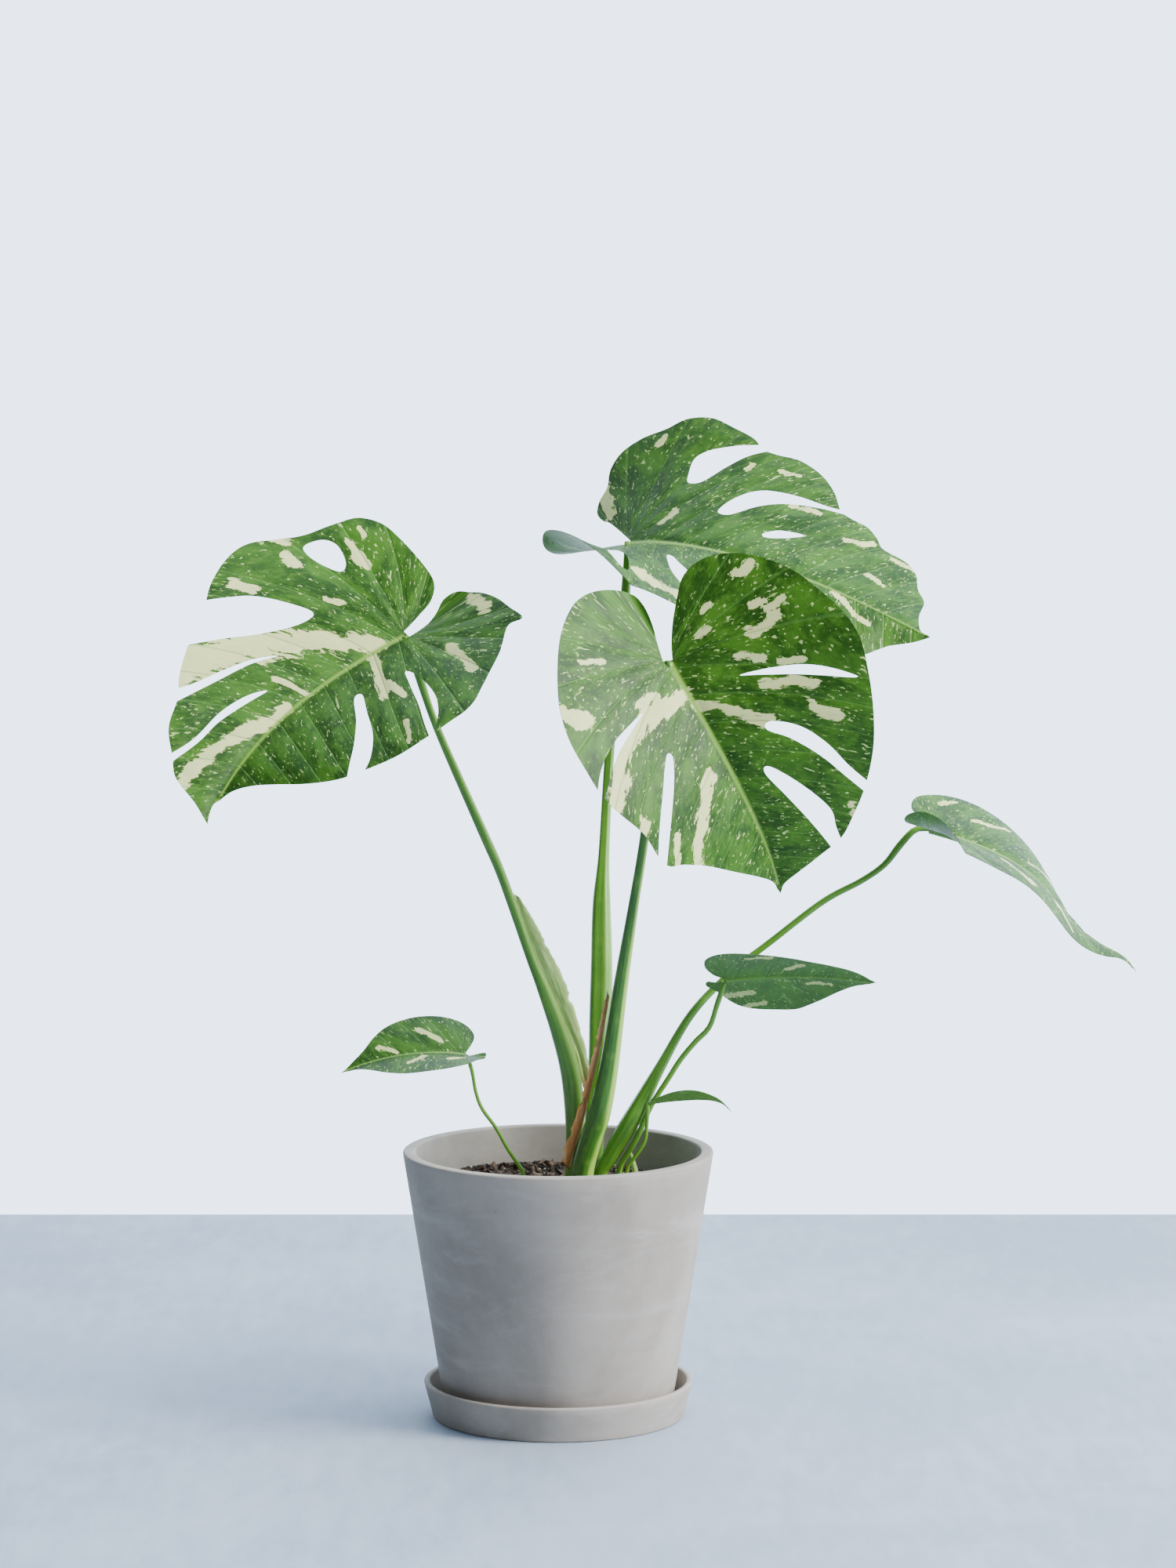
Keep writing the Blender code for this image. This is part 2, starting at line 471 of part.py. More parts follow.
def make_soil():
    """Growing mix that fills the pot, with a crumbly top that is a little higher at the back."""
    rng = np.random.default_rng(5)
    rings = 7
    outer = pot_inner_radius(SOIL_TOP) - GAP
    verts, faces, bands = [], [], []

    def ring(radius, heights):
        bands.append(len(verts))
        angles = np.arange(TURN_STEPS) * 2 * math.pi / TURN_STEPS
        verts.extend(zip(radius * np.cos(angles), radius * np.sin(angles), heights))

    def mound(radius, angle):
        return SOIL_TOP + 0.004 * (radius / outer)**2 * np.sin(angle - 0.4)

    angles = np.arange(TURN_STEPS) * 2 * math.pi / TURN_STEPS
    ring(pot_inner_radius(SOIL_BOTTOM) - GAP, np.full(TURN_STEPS, SOIL_BOTTOM))
    ring(outer - 0.001, mound(outer, angles) - 0.001)
    for k in range(rings - 1, 0, -1):
        radius = (outer - 0.001) * k / rings
        bumps = rng.uniform(-1, 1, TURN_STEPS) * SOIL_RELIEF * min(1.0, k / 3)
        ring(radius, mound(radius, angles) + bumps)
    n = TURN_STEPS
    for a, b in zip(bands[:-1], bands[1:]):
        for i in range(n):
            j = (i + 1) % n
            faces += [(a + i, a + j, b + j), (a + i, b + j, b + i)]
    centre = len(verts)
    verts += [(0.0, 0.0, SOIL_TOP), (0.0, 0.0, SOIL_BOTTOM)]
    faces += [(bands[-1] + i, bands[-1] + (i + 1) % n, centre) for i in range(n)]
    faces += [(bands[0] + (i + 1) % n, bands[0] + i, centre + 1) for i in range(n)]
    mesh = bpy.data.meshes.new("soil")
    mesh.from_pydata([tuple(float(x) for x in v) for v in verts], [], faces)
    return add_object("soil", mesh, "soil")


def cut_pocket(soil, name, route):
    """Room in the soil for a stalk that stands in it."""
    below = [(route[0][0], route[0][1], route[0][2] - 2 * GAP / MM, route[0][3])]
    cutter = make_stalk(name + "_pocket", below + route[:3], None, extra=GAP / MM * 1.4)
    cutter.hide_render = True
    cutter.display_type = "WIRE"
    cut = soil.modifiers.new(name, "BOOLEAN")
    cut.operation = "DIFFERENCE"
    cut.solver = "EXACT"
    cut.object = cutter


def main():
    for piece in list(bpy.data.objects):
        bpy.data.objects.remove(piece, do_unlink=True)
    make_saucer()
    make_pot()
    soil = make_soil()
    for name, leaf in LEAVES.items():
        make_leaf(name, leaf)
    for name, route in PETIOLES.items():
        make_stalk(name, route, "petiole_green", stop=STALK_STOP)
        cut_pocket(soil, name, route)
    make_stalk("new_shoot", SHOOT, "sheath_pale")
    cut_pocket(soil, "new_shoot", SHOOT)
    make_sheath("sheath_wing_left", **SHEATHS["sheath_wing_left"], finish="sheath_pale")
    make_sheath("sheath_dried_front", **SHEATHS["sheath_dried_front"], finish="sheath_dried")


main()
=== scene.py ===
"""Looks of the potted monstera: variegated leaves, petioles, soil, stone-look pot and saucer.

Metres, +Z up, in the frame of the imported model. The tables of leaves and petioles are in mm.
"""
import math

import bmesh
import bpy
import numpy as np
from mathutils import Euler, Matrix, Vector, noise
from mathutils.geometry import delaunay_2d_cdt
from mathutils.kdtree import KDTree


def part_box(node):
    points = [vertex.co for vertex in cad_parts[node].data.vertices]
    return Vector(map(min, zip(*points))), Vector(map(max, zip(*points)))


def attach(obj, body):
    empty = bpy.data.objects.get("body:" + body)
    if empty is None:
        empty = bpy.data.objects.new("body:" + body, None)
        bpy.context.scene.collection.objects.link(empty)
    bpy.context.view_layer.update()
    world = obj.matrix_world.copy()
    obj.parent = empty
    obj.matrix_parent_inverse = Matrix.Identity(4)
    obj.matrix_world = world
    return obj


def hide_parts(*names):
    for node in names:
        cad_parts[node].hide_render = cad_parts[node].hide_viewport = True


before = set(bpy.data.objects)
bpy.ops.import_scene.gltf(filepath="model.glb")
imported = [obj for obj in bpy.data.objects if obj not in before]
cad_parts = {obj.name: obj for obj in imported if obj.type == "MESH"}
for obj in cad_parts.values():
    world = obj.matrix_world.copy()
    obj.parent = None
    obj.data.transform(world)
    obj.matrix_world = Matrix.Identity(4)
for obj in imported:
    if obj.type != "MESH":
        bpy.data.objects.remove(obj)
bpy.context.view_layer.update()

MM = 0.001
GAP = 0.0003                # clearance between pieces that touch

# --- sizes of the pot, the saucer and the soil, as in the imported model
SAUCER_LOW, SAUCER_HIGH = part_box("saucer")
POT_LOW, POT_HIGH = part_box("pot")
SOIL_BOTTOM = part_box("soil")[0][2]
SAUCER_FLARE = 0.0065       # how much wider the saucer is at its rim than at its base
SAUCER_RIM_RADIUS = SAUCER_HIGH[0]
SAUCER_BASE_RADIUS = SAUCER_RIM_RADIUS - SAUCER_FLARE
SAUCER_FLOOR = POT_LOW[2] - GAP
SAUCER_WALL = 0.0050
POT_FLARE = 0.0330          # how much wider the pot is at its rim than at its base
POT_TOP_RADIUS = POT_HIGH[0]
POT_BASE_RADIUS = POT_TOP_RADIUS - POT_FLARE
POT_WALL = 0.0100
POT_FLOOR = 0.0090
DRAIN_RADIUS = 0.0090
EDGE = 0.0018               # rounding of the pot's and the saucer's edges
TURN_STEPS = 160            # facets round the pot and the saucer

SOIL_TOP = 0.1800           # height of the soil's middle
SOIL_TILT = 0.008           # how much higher it is at the back left than in the middle
SOIL_COARSE = 0.0020        # relief of its lumps and of its crumbs
SOIL_FINE = 0.0012
SOIL_SETTLED = 0.0005

MARGIN_STEP = 3.0           # mm between points along a leaf's edge
BLADE_STEP = 2.8      # mm between points inside a leaf
LEAF_THICKNESS = 0.0005

# Each leaf lies on a curved sheet. "at" is where its petiole meets it, in mm. az, pitch and roll
# (degrees) aim its midrib: az 0 is +X and 90 is +Y, pitch is downwards, roll raises its left half.
# droop, side and twist bend, yaw and twist the midrib along its length (radians per metre, droop2
# per square metre); bends gives the bend as (mm, degrees) pairs instead. fold, curl and unfold
# shape the left and the right half. Outlines are (u, v) in mm: u along the midrib, v to the left.
# cuts are splits that run out through the edge, and holes stay closed.
LEAVES = {
    "leaf_left": dict(
        at=(-121, -30, 632), az=207, pitch=24, roll=-18, droop2=8.2, side=1.9, twist=-0.7,
        fold=(0.03, -0.6), curl=(-0.1, -0.5), back=-4.0,
        right=[(-2, -4), (-22, -10), (-38, -15), (-50, -26), (-54, -45), (-55, -72), (-52, -93),
               (-37, -108), (-12, -113), (16, -116), (34, -123), (54, -132), (72, -130),
               (92, -120), (108, -107), (134, -93), (154, -81), (168, -70), (188, -62),
               (204, -47), (216, -37), (226, -15), (237, 1)],
        left=[(-2, 4), (-20, 1), (-33, -3), (-46, -9), (-60, -6), (-69, 10), (-73, 30), (-72, 52),
              (-70, 74), (-58, 68), (-36, 88), (-16, 102), (8, 119), (28, 126), (52, 125),
              (78, 122), (104, 117), (128, 107), (152, 91), (166, 77), (178, 58), (186, 38),
              (194, 20), (205, 6), (218, -1), (228, -1), (237, 1)],
        cuts=[[(112, -118), (92, -105), (74, -92), (58, -72), (48, -54), (64, -53), (90, -64),
               (116, -81), (142, -99)],
              [(168, -80), (152, -69), (130, -60), (108, -51), (92, -41), (112, -49), (136, -56),
               (158, -64), (180, -74)],
              [(208, -52), (184, -41), (155, -38), (132, -32), (118, -24), (138, -28), (164, -34),
               (186, -37), (214, -48)],
              [(168, 94), (142, 83), (120, 72), (98, 56), (78, 34), (71, 36), (84, 55), (104, 80),
               (130, 96), (154, 100)],
              [(82, 130), (68, 110), (52, 87), (38, 60), (29, 43), (26, 58), (32, 85), (46, 106),
               (66, 122), (74, 130)]],
        holes=[[(22, -108), (8, -106), (1, -96), (3, -80), (10, -74), (17, -83), (23, -98)]]),
    "leaf_front": dict(
        at=(87, -90, 616), az=-27, pitch=56, roll=42, droop=3.1, droop2=7.1, side=1.2, twist=0.8,
        fold=(-0.44, -0.23), curl=(-0.35, -0.4), back=-0.6, size=0.99,
        right=[(-2, -5), (-14, -2), (-30, 3), (-48, 5), (-62, 1), (-71, -14), (-75, -34),
               (-72, -54), (-60, -73), (-42, -90), (-18, -106), (4, -117), (24, -122), (45, -121),
               (62, -119), (78, -112), (98, -101), (116, -98), (127, -93), (134, -79),
               (148, -59), (168, -38), (190, -17), (208, -4), (225, 0)],
        left=[(0, 3), (-10, 8), (-24, 17), (-40, 30), (-54, 44), (-58, 62), (-52, 82), (-36, 103),
              (-12, 120), (10, 129), (34, 137), (56, 139), (80, 132), (104, 122), (128, 109),
              (152, 91), (170, 74), (186, 58), (196, 38), (206, 19), (214, 6), (225, 0)],
        cuts=[[(160, 99), (136, 86), (112, 77), (92, 64), (79, 46), (83, 40), (98, 54), (120, 69),
               (142, 80), (164, 92)],
              [(198, 58), (176, 57), (160, 58), (138, 48), (116, 34), (108, 26), (114, 23),
               (136, 30), (166, 40), (204, 52)],
              [(63, -126), (48, -109), (37, -88), (30, -62), (27, -46), (33, -60), (43, -84),
               (56, -106), (68, -124)],
              [(124, -104), (104, -88), (84, -69), (65, -51), (61, -45), (66, -43), (82, -54),
               (104, -74), (132, -100)]],
        holes=[[(80, 123), (66, 108), (54, 90), (44, 66), (37, 42), (44, 55), (57, 80), (70, 103),
                (77, 115)]]),
    "leaf_top": dict(
        at=(57, 140, 699), az=-43, pitch=-4.5, roll=68, droop=5.2, droop2=-10, side=-1.6,
        twist=-2.2, fold=(0.47, -0.85), curl=(-0.5, -1.0), unfold=(0, 16), basal=(0, -12),
        back=1.7, size=1.025,
        right=[(0, -3), (-10, -6), (-22, -14), (-33, -28), (-37, -46), (-32, -64), (-19, -80),
               (0, -92), (22, -100), (46, -107), (70, -113), (98, -119), (122, -118),
               (140, -112), (158, -100), (178, -92), (196, -84), (214, -70), (224, -55),
               (236, -39), (247, -24), (262, -11), (272, 0)],
        left=[(0, 3), (-18, 14), (-36, 24), (-46, 27), (-57, 35), (-62, 48), (-61, 62), (-67, 80),
              (-64, 98), (-50, 114), (-32, 126), (-18, 139), (4, 145), (28, 141), (50, 136),
              (64, 128), (78, 128), (98, 132), (122, 127), (140, 115), (154, 98), (166, 95),
              (180, 95), (192, 88), (201, 79), (222, 79), (234, 71), (242, 54), (252, 42),
              (255, 20), (262, 3), (272, 0)],
        cuts=[[(72, 138), (53, 129), (34, 120), (18, 110), (11, 99), (14, 84), (20, 72), (32, 76),
               (44, 98), (56, 116), (76, 134)],
              [(164, 104), (144, 97), (115, 93), (84, 82), (68, 64), (63, 46), (74, 45), (90, 62),
               (110, 78), (134, 89), (166, 98)],
              [(158, -116), (130, -88), (102, -64), (76, -42), (63, -30), (57, -29), (67, -46),
               (80, -64), (97, -82), (118, -100), (142, -120)],
              [(206, -88), (182, -70), (156, -54), (130, -36), (142, -38), (168, -50),
               (194, -66), (216, -80)]],
        holes=[[(109, 36), (118, 46), (132, 51), (141, 51), (130, 41), (115, 33)],
               [(12, -32), (30, -48), (48, -72), (60, -96), (54, -98), (40, -84), (24, -60)]]),
    "leaf_right": dict(
        at=(299, 20, 474), az=4, pitch=16, roll=2, side=0.3,
        bends=[(0, 0), (60, 9), (100, 26), (130, 40), (155, 27), (185, 5), (197, 20), (214, 55)],
        fold=(-0.36, 0.02), curl=(0.8, 1.0), unfold=(14, 10), basal=(0, -20), fade=(0.02, 0.05),
        back=2.0,
        right=[(0, -2), (-8, -6), (-22, -16), (-26, -34), (-14, -54), (10, -68), (44, -74),
               (80, -72), (112, -63), (140, -46), (166, -26), (190, -10), (214, 0)],
        left=[(0, 2), (-6, 10), (-14, 28), (-11, 48), (2, 62), (24, 73), (52, 78), (84, 76),
              (114, 67), (142, 48), (167, 27), (190, 10), (214, 0)]),
    "leaf_small_right": dict(
        at=(134, -20, 357), az=-9, pitch=-8, roll=-29, droop=2.1, droop2=1.6, side=0.5,
        twist=-0.7, fold=(0.19, -0.09), curl=(2.0, 2.2),
        right=[(0, -1), (-8, -10), (-12, -26), (-9, -41), (0, -48), (12, -48), (26, -43),
               (40, -37), (55, -30), (70, -23), (86, -18), (100, -14), (110, -9), (121, 0)],
        left=[(0, 1), (-8, 3), (-15, 0), (-17, 6), (-10, 16), (-4, 28), (4, 38), (17, 44),
              (35, 46), (51, 45), (64, 38), (78, 28), (90, 18), (104, 8), (121, 0)]),
    "leaf_small_left": dict(
        at=(-73, -20, 296), az=206, pitch=-12, roll=-15.5, droop=5.2, droop2=1.6, side=0.3,
        twist=-1.1, fold=(-0.21, -0.41), curl=(3.7, 1.75),
        right=[(0, -3), (-6, -11), (-12, -22), (-11, -31), (-4, -38), (8, -41), (20, -41),
               (34, -39), (48, -35), (60, -30), (72, -22), (84, -12), (96, -5), (108, 1)],
        left=[(0, 2), (-10, -3), (-19, -6), (-14, 4), (-4, 14), (6, 25), (14, 32), (24, 37),
              (36, 40), (50, 40), (64, 37), (74, 31), (82, 23), (90, 12), (98, 4), (108, 1)]),
    "leaf_newest": dict(
        at=(72, -22, 257), az=-8, pitch=-22, roll=-28,
        bends=[(0, 0), (35, 18), (58, 42), (76, 82)], fold=(0.15, -0.1), curl=(4.0, 4.0),
        right=[(0, -1), (10, -5), (26, -9), (42, -9), (58, -5), (68, -2), (76, 0)],
        left=[(0, 1), (10, 5), (26, 9), (42, 9), (58, 5), (68, 2), (76, 0)]),
}

# Petioles, from the soil up to the leaf: (x, y, z, radius) in mm. The lower part of a large one is
# wrapped in its sheath, which makes it thicker.
PETIOLES = {
    "petiole_left": [(13, -3, 160, 8.5), (14, -3, 200, 8.5), (14, -4, 240, 8.5), (10, -6, 280, 8.3),
                     (1, -8, 314, 7.3), (-12, -10, 350, 5.6), (-22, -12, 375, 4.3),
                     (-44, -15, 438, 4.0), (-60, -18, 476, 4.0), (-95, -23, 557, 3.2),
                     (-111, -27, 604, 3.0), (-121, -30, 632, 2.9)],
    "petiole_front": [(20, -21, 160, 8.4), (20, -21, 200, 8.8), (27, -23, 229, 9.0),
                      (34, -26, 252, 8.8), (41, -30, 288, 7.6), (50, -39, 354, 5.9),
                      (60, -51, 420, 4.2), (68, -60, 472, 3.7), (77, -75, 544, 3.5),
                      (84, -85, 596, 3.4), (87, -90, 616, 3.2)],
    "petiole_top": [(27, 13, 160, 8.0), (28, 13, 205, 8.0), (30, 17, 243, 8.5), (33, 24, 281, 9.0),
                    (34, 32, 320, 9.2), (35, 41, 359, 9.0), (35, 54, 408, 7.5),
                    (37, 66, 450, 4.6), (42, 88, 535, 4.0), (49, 107, 596, 3.8),
                    (55, 127, 658, 3.4), (57, 140, 699, 3.1)],
    "petiole_right": [(29, -4, 160, 5.5), (34, -5, 198, 6.0), (40, -5, 208, 6.6),
                      (51, -4, 228, 7.8), (63, -2, 248, 7.5), (83, 0, 285, 4.5),
                      (108, 3, 327, 3.4), (140, 5, 360, 3.0), (171, 8, 384, 2.8),
                      (213, 11, 416, 2.7), (243, 13, 432, 2.6), (262, 15, 445, 2.6),
                      (275, 17, 461, 2.6), (287, 19, 473, 2.6), (299, 20, 474, 2.5)],
    "petiole_small_right": [(46, -7, 160, 2.4), (49, -7, 200, 2.5), (55, -8, 213, 2.5),
                            (63, -9, 227, 2.5), (73, -9, 250, 2.4), (79, -10, 261, 2.4),
                            (88, -11, 275, 2.4), (98, -12, 291, 2.4), (110, -14, 306, 2.4),
                            (121, -16, 318, 2.3), (127, -18, 336, 2.1), (133, -20, 355, 2.0)],
    "petiole_small_left": [(-24, 0, 160, 1.7), (-28, 0, 195, 1.7), (-33, -1, 205, 1.6),
                           (-41, -4, 218, 1.6), (-50, -7, 235, 1.6), (-61, -10, 251, 1.6),
                           (-66, -12, 265, 1.5), (-69, -16, 283, 1.5), (-73, -20, 296, 1.4)],
    "petiole_newest": [(56, -14, 160, 1.6), (55, -15, 200, 1.6), (61, -17, 212, 1.6),
                       (69, -19, 225, 1.6), (71, -21, 239, 1.5), (72, -22, 257, 1.4)],
}
SHOOT = [(61, -4, 160, 2.4), (62, -3, 196, 2.4), (60, -2, 207, 1.8), (58, -2, 215, 0.6)]

# Loose sheaths: the edge next to the petiole and the free edge, from top to bottom, in mm.
SHEATHS = {
    "sheath_wing_left": dict(
        inner=[(-33, -13, 424), (-25, -12, 400), (-17, -11, 379), (-9, -11, 359), (0, -9, 338),
               (10, -8, 314), (17, -7, 297), (21, -6, 279), (23, -5, 268)],
        outer=[(-30, -13, 422), (-18, -12, 402), (-7, -11, 381), (3, -10, 361), (11, -9, 340),
               (18, -8, 316), (23, -7, 298), (26, -6, 279), (27, -5, 269)]),
    "sheath_dried_front": dict(
        inner=[(41, -40, 346), (35, -37, 310), (28, -33, 277), (20, -29, 243), (13, -26, 220),
               (9, -25, 204)],
        outer=[(39, -41, 352), (30, -38, 312), (22, -34, 278), (12, -30, 244), (5, -27, 223),
               (2, -26, 210)]),
}

# Cream areas of each leaf: (u, v) of both ends and half the width, in mm, on the flat leaf.
PATCHES = {
    "leaf_left": [(24, -5, 58, -30, 7), (58, -31, 98, -57, 11), (98, -57, 158, -92, 15),
                  (35, 4, 63, 55, 5), (50, 48, 51, 68, 4),
                  (-17, 44, -11, 88, 5), (-60, 7, -60, 32, 5), (122, -3, 219, -32, 5),
                  (93, -4, 111, -26, 3), (35, -96, 36, -108, 4), (-11, -72, -11, -93, 5),
                  (-30, -90, -30, -99, 3), (26, -50, 32, -59, 3), (73, -97, 79, -111, 5),
                  (28, -117, 40, -128, 3), (75, 95, 98, 112, 2)],
    "leaf_front": [(29, -2, 32, -53, 6), (32, -53, 46, -92, 7), (56, -91, 68, -114, 8),
                   (42, 1, 79, 45, 4), (92, -22, 139, -68, 6), (115, -77, 128, -85, 3),
                   (5, -118, 16, -98, 6), (-28, -74, -20, -60, 3), (21, -48, 22, -27, 3),
                   (13, 67, 14, 91, 4), (3, 104, 4, 86, 3), (-4, 79, -1, 89, 3),
                   (26, 51, 34, 64, 4), (44, 76, 50, 91, 3), (-33, 81, -36, 91, 4),
                   (-5, 29, -8, 38, 3), (-22, 42, -24, 51, 3), (51, 57, 71, 91, 4),
                   (85, 82, 100, 93, 5), (92, -94, 98, -102, 4), (163, 76, 173, 76, 4)],
    "leaf_top": [(61, -87, 98, -104, 7), (-65, 58, -39, 32, 6), (18, 22, 27, 40, 4),
                 (-31, 107, -28, 118, 4), (173, 68, 191, 78, 4), (189, -4, 222, -17, 3),
                 (62, 100, 65, 109, 2.5), (91, 108, 107, 116, 2.5), (214, 69, 227, 74, 3),
                 (204, 36, 217, 34, 3), (120, 80, 140, 84, 3), (40, 120, 52, 128, 3)],
    "leaf_right": [(40, 40, 70, 58, 3), (90, 20, 120, 38, 3), (60, -30, 84, -46, 4),
                   (10, 50, 22, 62, 3), (120, -20, 140, -30, 3)],
    "leaf_small_right": [(24, -35, 38, -30, 2.5), (-8, 23, 15, 20, 4), (67, 9, 83, 8, 2.5),
                         (10, 40, 24, 38, 3), (50, -12, 66, -16, 2)],
    "leaf_small_left": [(20, -12, 34, -22, 3), (44, 10, 60, 20, 2.5), (60, -6, 74, -12, 2),
                        (10, 12, 22, 20, 2.5)],
}

# How pale the green of a young leaf is.
YOUNG = {"leaf_newest": 0.85}


class Nodes:
    """A short way to write a material's node tree."""

    def __init__(self, name):
        self.material = bpy.data.materials.new(name)
        self.material.use_nodes = True
        self.tree = self.material.node_tree
        self.shader = self.tree.nodes["Principled BSDF"]
        self.output = self.tree.nodes["Material Output"]

    def put(self, socket, value):
        if isinstance(value, bpy.types.NodeSocket):
            self.tree.links.new(value, socket)
        elif isinstance(value, tuple) and len(value) == 3 and socket.type == "RGBA":
            socket.default_value = (*value, 1.0)
        else:
            socket.default_value = value

    def add(self, kind, output=0, settings=(), **inputs):
        """Adds a node. Inputs go by name, or by place as i0, i1 and so on."""
        node = self.tree.nodes.new(kind)
        for key, value in dict(settings).items():
            setattr(node, key, value)
        for key, value in inputs.items():
            index = int(key[1:]) if key[0] == "i" and key[1:].isdigit() else key.replace("_", " ")
            self.put(node.inputs[index], value)
        return node.outputs[output]

    def math(self, operation, a, b=0.0):
        return self.add("ShaderNodeMath", settings={"operation": operation}, i0=a, i1=b)

    def ramp(self, value, low, high):
        """0 below low, 1 above high, smooth between."""
        return self.add("ShaderNodeMapRange", settings={"interpolation_type": "SMOOTHSTEP"},
                        i0=value, i1=low, i2=high)

    def mix(self, factor, a, b):
        return self.add("ShaderNodeMix", output=2, settings={"data_type": "RGBA"},
                        i0=factor, i6=a, i7=b)

    def noise(self, vector, scale, detail=2.0, roughness=0.5, distortion=0.0):
        return self.add("ShaderNodeTexNoise", Vector=vector, Scale=scale, Detail=detail,
                        Roughness=roughness, Distortion=distortion)

    def scaled(self, vector, x, y, z=1.0):
        return self.add("ShaderNodeMapping", Vector=vector, Scale=Vector((x, y, z)))

    def attribute(self, name):
        return self.add("ShaderNodeAttribute", output=2, settings={"attribute_name": name})

    def uv(self, name):
        return self.add("ShaderNodeUVMap", settings={"uv_map": name})

    def place(self):
        return self.add("ShaderNodeTexCoord", output=3)

    def bump(self, height, strength, distance):
        return self.add("ShaderNodeBump", Height=height, Strength=strength, Distance=distance)


def leaf_material():
    n = Nodes("leaf_variegated")
    veins_uv = n.uv("VeinUV")
    patch = n.attribute("patch")
    under = n.attribute("under")
    young = n.attribute("young")
    midrib = n.attribute("midrib")
    place = n.place()
    # mottled greens, drawn out along the side veins
    broad = n.noise(n.scaled(veins_uv, 1.3, 0.8), 1.0, 5, 0.62, 0.5)
    fine = n.noise(n.scaled(veins_uv, 9, 3.5), 1.0, 4, 0.7, 0.2)
    green = n.mix(n.ramp(broad, 0.38, 0.66), (0.013, 0.058, 0.002), (0.055, 0.165, 0.009))
    green = n.mix(n.math("MULTIPLY", n.ramp(fine, 0.45, 0.75), 0.55), green, (0.13, 0.28, 0.03))
    green = n.mix(young, green, (0.19, 0.38, 0.08))
    # cream patches with ragged edges, and speckles
    ragged = n.noise(n.scaled(veins_uv, 3.6, 1.3), 1.0, 6, 0.72, 0.5)
    edge = n.math("ADD", patch, n.math("MULTIPLY", n.math("SUBTRACT", ragged, 0.5), 2.0))
    cream = n.ramp(edge, 0.50, 0.55)
    dots = n.noise(n.scaled(veins_uv, 11, 4.6), 1.0, 2, 0.6, 0.3)
    crowd = n.noise(n.scaled(veins_uv, 0.9, 0.6), 1.0, 3, 0.6)
    limit = n.math("SUBTRACT", 0.760, n.math("MULTIPLY", crowd, 0.22))
    speckle = n.math("GREATER_THAN", dots, limit)
    streaks = n.noise(n.scaled(veins_uv, 4.4, 1.3), 1.0, 4, 0.65, 0.5)
    streak = n.ramp(streaks, 0.665, 0.685)
    light = n.math("MAXIMUM", n.math("MULTIPLY", speckle, 0.85), streak)
    colour = n.mix(light, green, (0.50, 0.66, 0.22))
    inner = n.mix(n.ramp(fine, 0.3, 0.7), (0.84, 0.79, 0.33), (0.68, 0.75, 0.32))
    colour = n.mix(cream, colour, inner)
    # side veins, thin and pale, on whole numbers of the first coordinate
    across = n.add("ShaderNodeSeparateXYZ", Vector=veins_uv)
    nearest = n.math("PINGPONG", n.math("ADD", across, 100.0), 0.5)
    vein = n.math("SUBTRACT", 1.0, n.ramp(nearest, 0.012, 0.045))
    colour = n.mix(n.math("MULTIPLY", vein, 0.30), colour, (0.12, 0.28, 0.05))
    colour = n.mix(midrib, colour, (0.24, 0.42, 0.06))
    colour = n.mix(n.math("MULTIPLY", under, 0.40), colour, (0.13, 0.28, 0.07))
    n.put(n.shader.inputs["Base Color"], colour)
    n.put(n.shader.inputs["Roughness"], n.math("ADD", 0.40, n.math("MULTIPLY", fine, 0.14)))
    n.shader.inputs["Specular IOR Level"].default_value = 0.22
    grain = n.noise(place, 900.0, 2, 0.5)
    height = n.math("ADD", n.math("MULTIPLY", fine, 0.6), n.math("MULTIPLY", grain, 0.4))
    height = n.math("SUBTRACT", height, n.math("MULTIPLY", vein, 1.2))
    n.put(n.shader.inputs["Normal"], n.bump(height, 0.45, 0.0006))
    glow = n.add("ShaderNodeBsdfTranslucent", Color=n.mix(0.35, colour, (0.30, 0.55, 0.05)))
    both = n.add("ShaderNodeMixShader", i0=0.22, i1=n.shader.outputs[0], i2=glow)
    n.put(n.output.inputs["Surface"], both)
    return n.material


def petiole_material():
    n = Nodes("petiole_green")
    uv = n.uv("StalkUV")
    tone = n.attribute("tone")
    painted_highlight_at = n.attribute("painted_highlight")
    lines = n.noise(n.scaled(uv, 9, 2.2), 1.0, 4, 0.6, 0.1)
    broad = n.noise(n.scaled(uv, 2.2, 5), 1.0, 3, 0.6)
    dark = n.mix(tone, (0.020, 0.095, 0.006), (0.10, 0.27, 0.016))
    bright = n.mix(tone, (0.060, 0.19, 0.014), (0.20, 0.42, 0.035))
    colour = n.mix(n.ramp(lines, 0.30, 0.74), dark, bright)
    colour = n.mix(n.math("MULTIPLY", n.ramp(broad, 0.5, 0.75), 0.30), colour, (0.20, 0.38, 0.05))
    # painted highlight: pale green laid along the petiole's lit side
    colour = n.mix(painted_highlight_at, colour, (0.32, 0.50, 0.07))
    n.put(n.shader.inputs["Base Color"], colour)
    n.shader.inputs["Roughness"].default_value = 0.38
    n.shader.inputs["Specular IOR Level"].default_value = 0.45
    n.put(n.shader.inputs["Normal"], n.bump(lines, 0.2, 0.0003))
    return n.material


